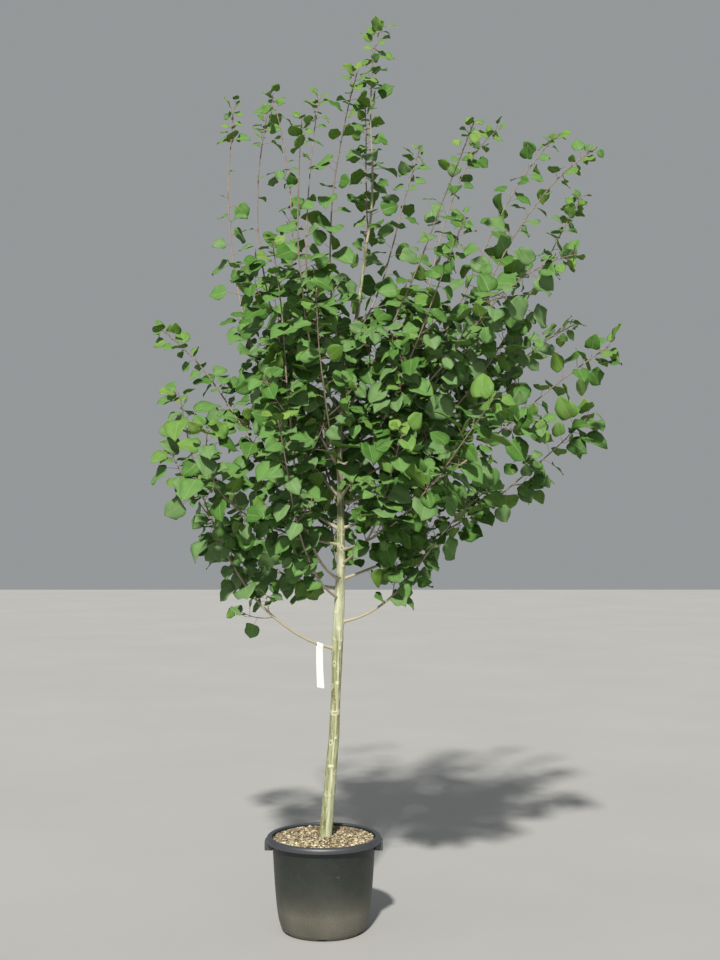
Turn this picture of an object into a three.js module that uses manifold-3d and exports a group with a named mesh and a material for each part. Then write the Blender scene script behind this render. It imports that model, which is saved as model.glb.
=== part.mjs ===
// A young poplar about 3.6 m tall in a black nursery pot.
// Millimetres, +Z up. The origin is the middle of the pot's flat underside. The side seen
// in the picture faces -Y, and +X is to its right.
import * as THREE from "three";
import { mergeVertices } from "three/addons/utils/BufferGeometryUtils.js";
import Module from "manifold-3d";

const wasm = await Module();
wasm.setup();

// Pot: a moulded container with a rolled rim and two grip lugs under it
const POT_HEIGHT = 360;
const POT_RIM_RADIUS = 222;
const POT_RIM_DEPTH = 27;
const POT_TOP_RADIUS = 200;
const POT_WALL = 3.2;
const POT_FLOOR = 4;
const POT_SIDES = 28;
const LUG_WIDTH = 54;
const LUG_OUT = 6;
const LUG_TOP = 343;
const LUG_DROP = 38;
const LUG_ROOT = 197;
const DRAIN_COUNT = 6;
const DRAIN_WIDTH = 34;
const DRAIN_HEIGHT = 10;

// Soil fills the pot to just under the rim
const SOIL_LEVEL = 348;
const SOIL_CLEAR = 0.6;

// The gap that each solid keeps to its neighbour
const CLEAR = 0.3;

// Trunk stations: height, sideways lean and width of the stem there.
// It swells at the collar where the lowest two limbs leave it.
const TRUNK = [
  { height: 348.3, lean: 5, width: 56 },
  { height: 362, lean: 6, width: 51 },
  { height: 520, lean: 21, width: 46 },
  { height: 740, lean: 39, width: 40 },
  { height: 950, lean: 48, width: 36 },
  { height: 1090, lean: 52, width: 43 },
  { height: 1200, lean: 57, width: 42 },
  { height: 1415, lean: 66, width: 34 },
  { height: 1600, lean: 64, width: 28 },
  { height: 1830, lean: 60, width: 20 },
  { height: 2050, lean: 69, width: 17 },
  { height: 2250, lean: 105, width: 15 },
  { height: 2450, lean: 138, width: 13 },
  { height: 2670, lean: 165, width: 11 },
];
const TRUNK_SIDES = 10;
const TRUNK_RINGS = 22;

// Limbs: each leaves the trunk at its foot height and ends at its tip, which lies its reach
// away from the foot along its heading (0 to the right, 90 to the back) and at its top height.
// leave and end are its slopes above the level at foot and tip, sway its sideways bow low and
// high, thick its width at the foot, and bare the share of it that carries no leaves.
const LIMBS = [
  { name: "low_left", foot: 1076, heading: -166, reach: 620, top: 2060,
    leave: 12, end: 80, sway: [40, -10], thick: 12, bare: 0.2 },
  { name: "back_left", foot: 1310, heading: 149, reach: 860, top: 1880,
    leave: 8, end: 68, sway: [110, -110], thick: 11, bare: 0.25 },
  { name: "front_left", foot: 1480, heading: -133, reach: 680, top: 1890,
    leave: 10, end: 88, sway: [-110, -70], thick: 10, bare: 0.25 },
  { name: "wide_left", foot: 1540, heading: 176, reach: 720, top: 2340,
    leave: 27, end: 37, sway: [-10, -30], thick: 11, bare: 0.2 },
  { name: "inner_left", foot: 1345, heading: -125, reach: 430, top: 2600,
    leave: 14, end: 72, sway: [60, 0], thick: 11, bare: 0.2 },
  { name: "upright_left", foot: 1775, heading: -137, reach: 370, top: 3100,
    leave: 48, end: 95, sway: [20, -120], thick: 9, bare: 0.14 },
  { name: "tall_left", foot: 1665, heading: 139, reach: 610, top: 3370,
    leave: 42, end: 91, sway: [50, 110], thick: 10, bare: 0.14 },
  { name: "mid_left", foot: 2000, heading: -107, reach: 470, top: 3020,
    leave: 24, end: 92, sway: [-55, -25], thick: 9, bare: 0.14 },
  { name: "front_upright", foot: 2110, heading: -81, reach: 355, top: 3245,
    leave: 70, end: 62, sway: [-110, -100], thick: 9, bare: 0.13 },
  { name: "back_upright", foot: 2310, heading: 58, reach: 530, top: 3180,
    leave: 28, end: 58, sway: [50, -10], thick: 8, bare: 0.16 },
  { name: "high_front_right", foot: 1970, heading: -43, reach: 665, top: 3010,
    leave: 50, end: 58, sway: [30, 20], thick: 9, bare: 0.16 },
  { name: "tall_right", foot: 1850, heading: 34, reach: 810, top: 3280,
    leave: 20, end: 44, sway: [45, 80], thick: 10, bare: 0.15 },
  { name: "front_right", foot: 1665, heading: -48, reach: 675, top: 2650,
    leave: 40, end: 58, sway: [-30, 0], thick: 10, bare: 0.17 },
  { name: "high_right", foot: 1900, heading: 15, reach: 940, top: 3190,
    leave: 23, end: 43, sway: [30, -20], thick: 10, bare: 0.15 },
  { name: "wide_high_right", foot: 1790, heading: -9, reach: 990, top: 3000,
    leave: 20, end: 33, sway: [0, -70], thick: 10, bare: 0.15 },
  { name: "wide_right", foot: 1715, heading: 6, reach: 980, top: 2890,
    leave: 19, end: 60, sway: [-60, -25], thick: 10, bare: 0.17 },
  { name: "back_right", foot: 1640, heading: 28, reach: 1150, top: 2440,
    leave: 14, end: 24, sway: [-40, 10], thick: 10, bare: 0.2 },
  { name: "far_right", foot: 1545, heading: -11, reach: 1040, top: 2235,
    leave: 15, end: 32, sway: [0, -20], thick: 10, bare: 0.2 },
  { name: "mid_right", foot: 1345, heading: 14, reach: 1065, top: 2020,
    leave: 18, end: 42, sway: [-10, -40], thick: 11, bare: 0.22 },
  { name: "low_front_right", foot: 1460, heading: -48, reach: 800, top: 1990,
    leave: 10, end: 49, sway: [10, -40], thick: 10, bare: 0.22 },
  { name: "low_right", foot: 1180, heading: -15, reach: 590, top: 1690,
    leave: 8, end: 32, sway: [25, 10], thick: 11, bare: 0.25 },
  { name: "low_front_left", foot: 1270, heading: -112, reach: 560, top: 1930,
    leave: 20, end: 70, sway: [-50, 20], thick: 10, bare: 0.22 },
  { name: "low_front", foot: 1405, heading: -66, reach: 560, top: 1900,
    leave: 22, end: 55, sway: [60, 0], thick: 10, bare: 0.22 },
  { name: "mid_front", foot: 1700, heading: -98, reach: 540, top: 2390,
    leave: 30, end: 70, sway: [20, -20], thick: 9, bare: 0.16 },
  { name: "low_back", foot: 1400, heading: 97, reach: 640, top: 2030,
    leave: 20, end: 60, sway: [20, 20], thick: 10, bare: 0.22 },
  { name: "mid_back", foot: 1610, heading: 108, reach: 560, top: 2480,
    leave: 30, end: 72, sway: [-20, 20], thick: 10, bare: 0.18 },
  { name: "high_back", foot: 1940, heading: 76, reach: 430, top: 2850,
    leave: 35, end: 75, sway: [20, 0], thick: 9, bare: 0.15 },
];
const LEADER = {
  name: "leader", heading: 0, reach: 55, top: 3535,
  leave: 78, end: 74, sway: [-12, -6], thick: 11, bare: 0,
};

// Forks leave another limb at a share of its length and belong to its mass of foliage
const FORKS = [
  { on: "tall_left", share: 0.28, heading: 98, reach: 260, top: 3440,
    leave: 80, end: 68, sway: [-110, -110], thick: 7 },
  { on: "mid_left", share: 0.35, heading: 74, reach: 135, top: 3210,
    leave: 80, end: 74, sway: [30, 30], thick: 6 },
  { on: "front_right", share: 0.34, heading: -20, reach: 720, top: 2525,
    leave: 30, end: 8, sway: [50, -35], thick: 8 },
  { on: "leader", share: 0.06, heading: 100, reach: 80, top: 3250,
    leave: 55, end: 76, sway: [0, 0], thick: 6 },
];
const LIMB_TIP_WIDTH = 4.4;
const LIMB_TAPER = 1.2;
const CURVE_PULL = 0.36;
const BOUGH_SIDES = 6;
const BOUGH_RINGS = 5;
const STEM_SIDES = 4;
const STEM_STEP = 190;

// Side shoots: their spacing along a limb, their length near its foot and near its tip
const SHOOT_FIRST = 40;
const SHOOT_SPACING = 250;
const SHOOT_LENGTH = 250;
const SHOOT_LENGTH_AT_TIP = 70;
const SHOOT_ANGLE = 50;
const SHOOT_WIDTH = 6.4;
const SHOOT_OF_LIMB = 0.75;
const SHOOT_RISE = 0.9;
const GOLDEN_ANGLE = 137.5;

// Leaves: a heart-shaped blade on its stalk, each standing for a small spray
const LEAF_LENGTH = 142;
const LEAF_WIDTH = 108;
const LEAF_WIDEST = 0.6;
const LEAF_KEEL = 4;
const LEAF_KEEL_PLACE = 15;
const LEAF_SPACING = 180;
const LEAF_END = 6;
const LEAF_ANGLE = 65;
const LEAF_DROOP = 0.5;
const LEAF_DROOP_SPREAD = 0.9;
const LEAF_TURN_SPREAD = 1.2;
const LEAF_GAP = 1;

// A blank white label: a strip looped over the lowest left limb, its two halves hanging down
const LABEL_LIMB = "low_left";
const LABEL_SHARE = 0.06;
const LABEL_WIDTH = 26;
const LABEL_LENGTH = 177;
const LABEL_THICK = 1;
const LABEL_LOOP = 34;
const LABEL_PLAY = 1;

const UP = new THREE.Vector3(0, 0, 1);

function seededStream(seed) {
  let state = seed;
  return () => {
    state = (state * 1664525 + 1013904223) % 4294967296;
    return state / 4294967296;
  };
}

// Solids and meshes

function solidFrom(geometry) {
  const shape = geometry.clone();
  shape.deleteAttribute("normal");
  shape.deleteAttribute("uv");
  const merged = mergeVertices(shape, 1e-4);
  return new wasm.Manifold(new wasm.Mesh({
    numProp: 3,
    vertProperties: new Float32Array(merged.attributes.position.array),
    triVerts: new Uint32Array(merged.index.array),
  }));
}

function solidFromLists(points, faces) {
  return new wasm.Manifold(new wasm.Mesh({
    numProp: 3,
    vertProperties: new Float32Array(points.flatMap((p) => [p.x, p.y, p.z])),
    triVerts: new Uint32Array(faces.flat()),
  }));
}

function geometryFrom(solid) {
  const mesh = solid.getMesh();
  const geometry = new THREE.BufferGeometry();
  const positions = new Float32Array(mesh.numVert * 3);
  for (let i = 0; i < mesh.numVert; i += 1) {
    for (let k = 0; k < 3; k += 1) {
      positions[3 * i + k] = mesh.vertProperties[i * mesh.numProp + k];
    }
  }
  geometry.setAttribute("position", new THREE.BufferAttribute(positions, 3));
  geometry.setIndex(new THREE.BufferAttribute(new Uint32Array(mesh.triVerts), 1));
  geometry.computeVertexNormals();
  return geometry;
}

function largestPiece(solid) {
  const pieces = solid.decompose();
  pieces.sort((a, b) => b.volume() - a.volume());
  return pieces[0];
}

// A closed round bar along a curve: rings of points joined by triangles, flat at both ends
function taperedBar(curve, from, to, radiusAt, rings, sides, aside) {
  const points = [];
  const faces = [];
  for (let i = 0; i <= rings; i += 1) {
    const share = from + (to - from) * (i / rings);
    const centre = curve.getPointAt(share);
    const along = curve.getTangentAt(share).normalize();
    const across = aside.clone().addScaledVector(along, -aside.dot(along)).normalize();
    const over = new THREE.Vector3().crossVectors(along, across);
    const radius = radiusAt(share);
    for (let k = 0; k < sides; k += 1) {
      const turn = (2 * Math.PI * k) / sides;
      points.push(centre.clone()
        .addScaledVector(across, radius * Math.cos(turn))
        .addScaledVector(over, radius * Math.sin(turn)));
    }
  }
  for (let k = 1; k < sides - 1; k += 1) faces.push([0, k + 1, k]);
  for (let i = 0; i < rings; i += 1) {
    for (let k = 0; k < sides; k += 1) {
      const a = i * sides + k;
      const b = i * sides + ((k + 1) % sides);
      faces.push([a, b, b + sides], [a, b + sides, a + sides]);
    }
  }
  const top = rings * sides;
  for (let k = 1; k < sides - 1; k += 1) faces.push([top, top + k, top + k + 1]);
  return solidFromLists(points, faces);
}

// Pot and soil

function potProfile() {
  const rimFoot = POT_HEIGHT - POT_RIM_DEPTH;
  return [
    [0, 0], [152, 0], [165, 14], [182, 95], [190, 175], [POT_TOP_RADIUS, rimFoot],
    [POT_RIM_RADIUS, rimFoot], [POT_RIM_RADIUS, POT_HEIGHT - 8],
    [POT_RIM_RADIUS - 7, POT_HEIGHT], [POT_TOP_RADIUS + 2, POT_HEIGHT - 2],
  ];
}

function innerProfile(wall, floor) {
  return [
    [151 - wall, floor], [182 - wall, 96], [190 - wall, 176],
    [POT_TOP_RADIUS - wall, POT_HEIGHT - POT_RIM_DEPTH],
  ];
}

function latheSolid(profile) {
  const outline = profile.map(([radius, height]) => new THREE.Vector2(radius, height));
  const lathe = new THREE.LatheGeometry(outline, POT_SIDES);
  lathe.rotateX(Math.PI / 2);
  const turned = solidFrom(lathe);
  return turned.volume() > 0 ? turned : solidFrom(flipped(lathe));
}

function flipped(geometry) {
  const index = geometry.index.array;
  for (let i = 0; i < index.length; i += 3) {
    [index[i], index[i + 1]] = [index[i + 1], index[i]];
  }
  return geometry;
}

function blockSolid(size, centre, turn) {
  const block = new THREE.BoxGeometry(size.x, size.y, size.z);
  block.translate(centre.x, centre.y, centre.z);
  block.rotateZ(turn);
  return solidFrom(block);
}

function makePot() {
  const outside = potProfile();
  const inside = innerProfile(POT_WALL, POT_FLOOR);
  const profile = [...outside, ...inside.slice().reverse(), [0, POT_FLOOR]];
  let pot = latheSolid(profile);
  for (const turn of [0, Math.PI]) {
    const depth = POT_RIM_RADIUS + LUG_OUT - LUG_ROOT;
    const centre = new THREE.Vector3(LUG_ROOT + depth / 2, 0, LUG_TOP - LUG_DROP / 2);
    pot = pot.add(blockSolid(new THREE.Vector3(depth, LUG_WIDTH, LUG_DROP), centre, turn));
  }
  for (let i = 0; i < DRAIN_COUNT; i += 1) {
    const centre = new THREE.Vector3(164, 0, 0);
    const size = new THREE.Vector3(40, DRAIN_WIDTH, 2 * DRAIN_HEIGHT);
    pot = pot.subtract(blockSolid(size, centre, ((i + 0.5) * 2 * Math.PI) / DRAIN_COUNT));
  }
  return largestPiece(pot);
}

function makeSoil() {
  const wall = POT_WALL + SOIL_CLEAR;
  const floor = POT_FLOOR + SOIL_CLEAR;
  const inside = innerProfile(wall, floor);
  return latheSolid([[0, floor], ...inside, [POT_TOP_RADIUS - wall, SOIL_LEVEL], [0, SOIL_LEVEL]]);
}

// Trunk

function alongStations(height, key) {
  let i = 0;
  while (i < TRUNK.length - 2 && height > TRUNK[i + 1].height) i += 1;
  const share = (height - TRUNK[i].height) / (TRUNK[i + 1].height - TRUNK[i].height);
  return TRUNK[i][key] + (TRUNK[i + 1][key] - TRUNK[i][key]) * share;
}

function trunkPoint(height) {
  return new THREE.Vector3(alongStations(height, "lean"), 0, height);
}

function makeTrunk(extra) {
  const points = [];
  const faces = [];
  const foot = TRUNK[0].height;
  const top = TRUNK[TRUNK.length - 1].height;
  const heights = TRUNK.map((s) => s.height);
  for (let i = 1; i < TRUNK_RINGS - TRUNK.length; i += 1) {
    heights.push(foot + ((top - foot) * i) / (TRUNK_RINGS - TRUNK.length));
  }
  heights.sort((a, b) => a - b);
  const kept = heights.filter((h, i) => i === 0 || h - heights[i - 1] > 12);
  kept[kept.length - 1] = top + extra;
  kept.forEach((height) => {
    const centre = trunkPoint(Math.min(height, top));
    const radius = alongStations(Math.min(height, top), "width") / 2 + extra;
    for (let k = 0; k < TRUNK_SIDES; k += 1) {
      const turn = (2 * Math.PI * k) / TRUNK_SIDES;
      points.push(new THREE.Vector3(centre.x + radius * Math.cos(turn), radius * Math.sin(turn), height));
    }
  });
  for (let k = 1; k < TRUNK_SIDES - 1; k += 1) faces.push([0, k + 1, k]);
  for (let i = 0; i < kept.length - 1; i += 1) {
    for (let k = 0; k < TRUNK_SIDES; k += 1) {
      const a = i * TRUNK_SIDES + k;
      const b = i * TRUNK_SIDES + ((k + 1) % TRUNK_SIDES);
      faces.push([a, b, b + TRUNK_SIDES], [a, b + TRUNK_SIDES, a + TRUNK_SIDES]);
    }
  }
  const last = (kept.length - 1) * TRUNK_SIDES;
  for (let k = 1; k < TRUNK_SIDES - 1; k += 1) faces.push([last, last + k, last + k + 1]);
  return solidFromLists(points, faces);
}

// Limbs

function limbCurve(limb, foot) {
  const heading = THREE.MathUtils.degToRad(limb.heading);
  const out = new THREE.Vector3(Math.cos(heading), Math.sin(heading), 0);
  const aside = new THREE.Vector3(-out.y, out.x, 0);
  const tip = foot.clone().addScaledVector(out, limb.reach).setZ(limb.top);
  const pull = CURVE_PULL * tip.distanceTo(foot);
  const slope = (degrees) => {
    const angle = THREE.MathUtils.degToRad(degrees);
    return out.clone().multiplyScalar(Math.cos(angle)).addScaledVector(UP, Math.sin(angle));
  };
  const low = foot.clone().addScaledVector(slope(limb.leave), pull).addScaledVector(aside, limb.sway[0]);
  const high = tip.clone().addScaledVector(slope(limb.end), -pull).addScaledVector(aside, limb.sway[1]);
  const curve = new THREE.CubicBezierCurve3(foot, low, high, tip);
  return { curve, aside, length: curve.getLength() };
}

function limbRadius(limb, share) {
  const tip = LIMB_TIP_WIDTH / 2;
  return tip + (limb.thick / 2 - tip) * (1 - share) ** LIMB_TAPER;
}

const limbs = LIMBS.map((limb, number) => (
  { ...limb, number, ...limbCurve(limb, trunkPoint(limb.foot)) }
));
const leaderFoot = trunkPoint(TRUNK[TRUNK.length - 1].height);
limbs.push({ ...LEADER, number: limbs.length, ...limbCurve(LEADER, leaderFoot) });
const forks = FORKS.map((fork, i) => {
  const parent = limbs.find((limb) => limb.name === fork.on);
  const foot = parent.curve.getPointAt(fork.share);
  return { ...fork, parent, bare: 0, number: limbs.length + i, ...limbCurve(fork, foot) };
});

function makeLabel() {
  const limb = limbs.find((l) => l.name === LABEL_LIMB);
  const centre = limb.curve.getPointAt(LABEL_SHARE);
  const along = limb.curve.getTangentAt(LABEL_SHARE);
  const level = new THREE.Vector3(along.x, along.y, 0).normalize();
  const aside = new THREE.Vector3().crossVectors(UP, level);
  const slope = along.z / Math.hypot(along.x, along.y);
  const inner = limbRadius(limb, 0) + LABEL_PLAY;
  const outer = inner + LABEL_THICK;
  const rise = (slope * LABEL_WIDTH) / 2;
  const drop = LABEL_LENGTH - rise - outer;
  const strip = new THREE.Shape();
  strip.moveTo(-LABEL_THICK, -drop);
  strip.lineTo(LABEL_THICK, -drop);
  strip.lineTo(LABEL_THICK, -LABEL_LOOP);
  strip.lineTo(outer, -rise);
  strip.absarc(0, rise, outer, 0, Math.PI, false);
  strip.lineTo(-outer, -rise);
  strip.lineTo(-LABEL_THICK, -LABEL_LOOP);
  const loop = new THREE.Path();
  loop.moveTo(0, LABEL_THICK - LABEL_LOOP);
  loop.lineTo(inner, -rise);
  loop.absarc(0, rise, inner, 0, Math.PI, false);
  loop.lineTo(-inner, -rise);
  strip.holes.push(loop);
  const extrusion = { depth: LABEL_WIDTH, bevelEnabled: false, curveSegments: 8 };
  const cut = new THREE.ExtrudeGeometry(strip, extrusion);
  cut.translate(0, 0, -LABEL_WIDTH / 2);
  const place = new THREE.Matrix4().makeBasis(aside, UP, new THREE.Vector3().crossVectors(aside, UP));
  cut.applyMatrix4(place.setPosition(centre));
  return solidFrom(cut);
}

// Everything laid so far: a new twig or leaf is skipped where it would touch any of it

const laid = [];

function boxesNear(a, b, gap) {
  for (let k = 0; k < 3; k += 1) {
    if (a.min[k] - gap > b.max[k] || b.min[k] - gap > a.max[k]) return false;
  }
  return true;
}

function lay(solid, twig) {
  laid.push({ solid, twig, box: solid.boundingBox() });
}

function isClear(solid, carrier) {
  const box = solid.boundingBox();
  return laid.every((other) => other.twig === carrier || !boxesNear(box, other.box, LEAF_GAP)
    || other.solid.minGap(solid, LEAF_GAP) > 0.9 * LEAF_GAP);
}

// Growth

function directionAround(along, turn) {
  const level = Math.abs(along.z) > 0.95 ? new THREE.Vector3(1, 0, 0) : UP;
  const across = new THREE.Vector3().crossVectors(along, level).normalize();
  const over = new THREE.Vector3().crossVectors(across, along);
  return across.multiplyScalar(Math.cos(turn)).addScaledVector(over, Math.sin(turn));
}

function shootsAlong(limb) {
  const random = seededStream(4000 + 37 * limb.number);
  const shoots = [];
  let turn = random() * 2 * Math.PI;
  let place = limb.bare * limb.length + SHOOT_FIRST;
  while (place < limb.length - SHOOT_LENGTH_AT_TIP) {
    const share = place / limb.length;
    const foot = limb.curve.getPointAt(share);
    const along = limb.curve.getTangentAt(share);
    const size = THREE.MathUtils.lerp(SHOOT_LENGTH, SHOOT_LENGTH_AT_TIP, share) * (0.7 + 0.6 * random());
    const angle = THREE.MathUtils.degToRad(SHOOT_ANGLE + 14 * (random() - 0.5));
    const out = along.clone().multiplyScalar(Math.cos(angle))
      .addScaledVector(directionAround(along, turn), Math.sin(angle)).normalize();
    const risen = out.clone().addScaledVector(UP, SHOOT_RISE).normalize();
    const middle = foot.clone().addScaledVector(out, size / 2);
    const tip = middle.clone().addScaledVector(risen, size / 2);
    const curve = new THREE.QuadraticBezierCurve3(foot, middle, tip);
    const radius = Math.min(SHOOT_WIDTH / 2, SHOOT_OF_LIMB * limbRadius(limb, share));
    shoots.push({ curve, length: size, radius, aside: directionAround(along, turn + Math.PI / 2) });
    turn += THREE.MathUtils.degToRad(GOLDEN_ANGLE);
    place += SHOOT_SPACING * (0.75 + 0.5 * random());
  }
  return shoots;
}

function leafSolid(root, along, side, size, random) {
  const angle = THREE.MathUtils.degToRad(LEAF_ANGLE + 30 * (random() - 0.5));
  const out = along.clone().multiplyScalar(Math.cos(angle)).addScaledVector(side, Math.sin(angle));
  out.z -= LEAF_DROOP + LEAF_DROOP_SPREAD * random();
  out.normalize();
  const face = UP.clone().add(side);
  face.x += LEAF_TURN_SPREAD * (random() - 0.5);
  face.y += LEAF_TURN_SPREAD * (random() - 0.5);
  face.addScaledVector(out, -face.dot(out)).normalize();
  const across = new THREE.Vector3().crossVectors(out, face);
  const length = LEAF_LENGTH * size;
  const half = (LEAF_WIDTH * size) / 2;
  const middle = root.clone().addScaledVector(out, LEAF_WIDEST * length);
  const points = [
    root.clone(),
    middle.clone().addScaledVector(across, half).addScaledVector(face, 0.1 * half),
    middle.clone().addScaledVector(across, -half).addScaledVector(face, 0.1 * half),
    root.clone().addScaledVector(out, LEAF_KEEL_PLACE).addScaledVector(face, -LEAF_KEEL),
    root.clone().addScaledVector(out, length).addScaledVector(face, -0.06 * length),
  ];
  const faces = [[0, 1, 2], [1, 4, 2], [0, 3, 1], [0, 2, 3], [3, 4, 1], [3, 2, 4]];
  const leaf = solidFromLists(points, faces);
  return leaf.volume() > 0 ? leaf : solidFromLists(points, faces.map(([a, b, c]) => [a, c, b]));
}

function leavesAlong(twig, from, seed) {
  const random = seededStream(seed);
  const places = [];
  let turn = random() * 2 * Math.PI;
  let place = from + 0.4 * LEAF_SPACING * random();
  const addPlace = (share) => {
    const root = twig.curve.getPointAt(share);
    const along = twig.curve.getTangentAt(share);
    places.push({ root, along, turn, share, random });
  };
  while (place < twig.length - 2 * LEAF_END) {
    addPlace(place / twig.length);
    turn += THREE.MathUtils.degToRad(GOLDEN_ANGLE);
    place += LEAF_SPACING * (0.8 + 0.4 * random());
  }
  addPlace(1 - LEAF_END / twig.length);
  return places;
}

// A limb's own foliage: its stem and forks, then side shoots, then leaves
const masses = limbs.map((limb) => ({ limb, twigs: [], parts: [] }));
const trunk = makeTrunk(0);
const trunkSpace = makeTrunk(CLEAR);
lay(trunk, null);

const boughs = limbs.filter((limb) => limb.bare > 0).map((limb) => {
  const radius = (share) => limbRadius(limb, share);
  const whole = taperedBar(limb.curve, 0, limb.bare, radius, BOUGH_RINGS, BOUGH_SIDES, limb.aside);
  const solid = largestPiece(whole.subtract(trunkSpace));
  lay(solid, null);
  return { name: limb.name, solid };
});

const label = makeLabel();
lay(label, null);

function addTwig(mass, twig, solid) {
  mass.twigs.push(twig);
  mass.parts.push(solid);
  lay(solid, twig);
}

for (const mass of masses) {
  const { limb } = mass;
  const start = limb.bare > 0 ? limb.bare + (CLEAR + 0.05) / limb.length : 0;
  const rings = Math.ceil(((1 - start) * limb.length) / STEM_STEP);
  const radius = (share) => limbRadius(limb, share);
  const stem = taperedBar(limb.curve, start, 1, radius, rings, STEM_SIDES, limb.aside);
  addTwig(mass, limb, limb.bare > 0 ? stem : largestPiece(stem.subtract(trunkSpace)));
}

for (const fork of forks) {
  const mass = masses.find((m) => m.limb === fork.parent);
  const rings = Math.ceil(fork.length / STEM_STEP);
  const solid = taperedBar(fork.curve, 0, 1, (s) => limbRadius(fork, s), rings, STEM_SIDES, fork.aside);
  addTwig(mass, fork, solid);
}

for (const mass of masses) {
  for (const limb of [...mass.twigs]) {
    for (const shoot of shootsAlong(limb)) {
      const taper = (s) => shoot.radius * (1 - 0.45 * s);
      const solid = taperedBar(shoot.curve, 0, 1, taper, 2, 3, shoot.aside);
      if (isClear(solid, limb)) addTwig(mass, shoot, solid);
    }
  }
}

const waiting = masses.map((mass) => mass.twigs.flatMap((twig, i) => {
  const isLimb = twig.number !== undefined;
  const from = isLimb ? Math.max(twig.bare * twig.length + 30, 40) : 30;
  const seed = 90000 + 977 * mass.limb.number + 31 * i;
  return leavesAlong(twig, from, seed).map((spot) => ({ ...spot, twig, mass, isLimb }));
}));
const longest = Math.max(...waiting.map((list) => list.length));
for (let i = 0; i < longest; i += 1) {
  for (const list of waiting) {
    const spot = list[i];
    if (spot) {
      const size = (spot.isLimb ? 1.05 - 0.35 * spot.share : 0.95) * (0.85 + 0.3 * spot.random());
      let grown = null;
      for (let attempt = 0; attempt < 4 && !grown; attempt += 1) {
        const side = directionAround(spot.along, spot.turn + attempt * 1.3);
        const leaf = leafSolid(spot.root, spot.along, side, size, spot.random);
        if (isClear(leaf, spot.twig)) grown = leaf;
      }
      if (grown) {
        spot.mass.parts.push(grown);
        lay(grown, spot.mass);
      }
    }
  }
}

// Colours and the finished group

const blackPlastic = new THREE.MeshStandardMaterial({ color: 0x2f3437, roughness: 0.55 });
const barkChips = new THREE.MeshStandardMaterial({ color: 0x8c7355, roughness: 0.95 });
const paleBark = new THREE.MeshStandardMaterial({ color: 0xa89f84, roughness: 0.85 });
const limbBark = new THREE.MeshStandardMaterial({ color: 0x8a7a62, roughness: 0.85 });
const leafGreen = new THREE.MeshStandardMaterial({ color: 0x3f6b2f, roughness: 0.6 });
const paperWhite = new THREE.MeshStandardMaterial({ color: 0xe8e8e4, roughness: 0.8 });

const tree = new THREE.Group();

function addPiece(name, solid, material) {
  const piece = new THREE.Mesh(geometryFrom(solid), material);
  piece.name = name;
  tree.add(piece);
}

addPiece("pot", makePot(), blackPlastic);
addPiece("soil", makeSoil(), barkChips);
addPiece("trunk", trunk, paleBark);
addPiece("label", label, paperWhite);
for (const bough of boughs) addPiece(`bough_${bough.name}`, bough.solid, limbBark);
for (const mass of masses) {
  addPiece(`foliage_${mass.limb.name}`, largestPiece(wasm.Manifold.union(mass.parts)), leafGreen);
}

export default tree;
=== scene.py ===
import math

import bpy
import numpy as np
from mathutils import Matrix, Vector, noise


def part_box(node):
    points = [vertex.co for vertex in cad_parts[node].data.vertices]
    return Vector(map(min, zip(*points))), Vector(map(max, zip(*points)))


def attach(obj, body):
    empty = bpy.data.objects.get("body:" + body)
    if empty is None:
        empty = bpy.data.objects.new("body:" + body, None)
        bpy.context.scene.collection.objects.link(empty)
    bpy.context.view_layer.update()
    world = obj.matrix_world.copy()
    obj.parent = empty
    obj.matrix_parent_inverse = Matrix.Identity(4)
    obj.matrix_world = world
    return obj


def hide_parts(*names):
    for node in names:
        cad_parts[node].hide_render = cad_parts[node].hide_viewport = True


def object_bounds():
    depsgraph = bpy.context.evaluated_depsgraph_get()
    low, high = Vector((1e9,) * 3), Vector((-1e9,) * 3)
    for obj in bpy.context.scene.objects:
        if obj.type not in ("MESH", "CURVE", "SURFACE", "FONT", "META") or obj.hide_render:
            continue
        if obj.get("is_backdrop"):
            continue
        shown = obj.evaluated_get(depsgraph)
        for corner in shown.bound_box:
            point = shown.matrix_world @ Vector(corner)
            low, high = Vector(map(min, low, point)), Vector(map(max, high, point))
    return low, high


# A young poplar in a black nursery pot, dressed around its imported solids.
# Metres, +Z up; the side seen in the picture faces -Y. The sections follow the plant
# from its pot up to its leaves, and the studio comes last.
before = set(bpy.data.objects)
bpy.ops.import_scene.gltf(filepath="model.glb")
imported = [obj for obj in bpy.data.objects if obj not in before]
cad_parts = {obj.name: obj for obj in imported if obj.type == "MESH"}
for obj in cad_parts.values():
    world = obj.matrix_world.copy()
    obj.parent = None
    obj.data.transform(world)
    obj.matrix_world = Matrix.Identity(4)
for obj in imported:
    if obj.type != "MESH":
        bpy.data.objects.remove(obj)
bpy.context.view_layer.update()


# The pot: a moulded black nursery container of about 40 litres with a rolled rim.
# It is one lathe-turned wall with six drain windows at the foot and two hollow grip
# lugs under the rim, in satin plastic that is scuffed and dusty brown near its foot.
# The rim and the lugs are in a lighter, bluer plastic: a painted reflection.
POT_STEPS = 144
POT_WALL = 0.0032
POT_FLOOR = 0.004
POT_FOOT_RADIUS = 0.148
POT_FOOT_ROUND = 0.005
NECK_RADIUS = 0.200
NECK_HEIGHT = 0.329
RIM_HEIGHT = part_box("pot")[1].z
RIM_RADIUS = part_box("pot")[1].y
RIM_DEPTH = 0.023
RIM_HEM_ROUND = 0.0035
RIM_ROLL_ROUND = 0.0125
RIM_LIP_ROUND = 0.0036
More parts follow.
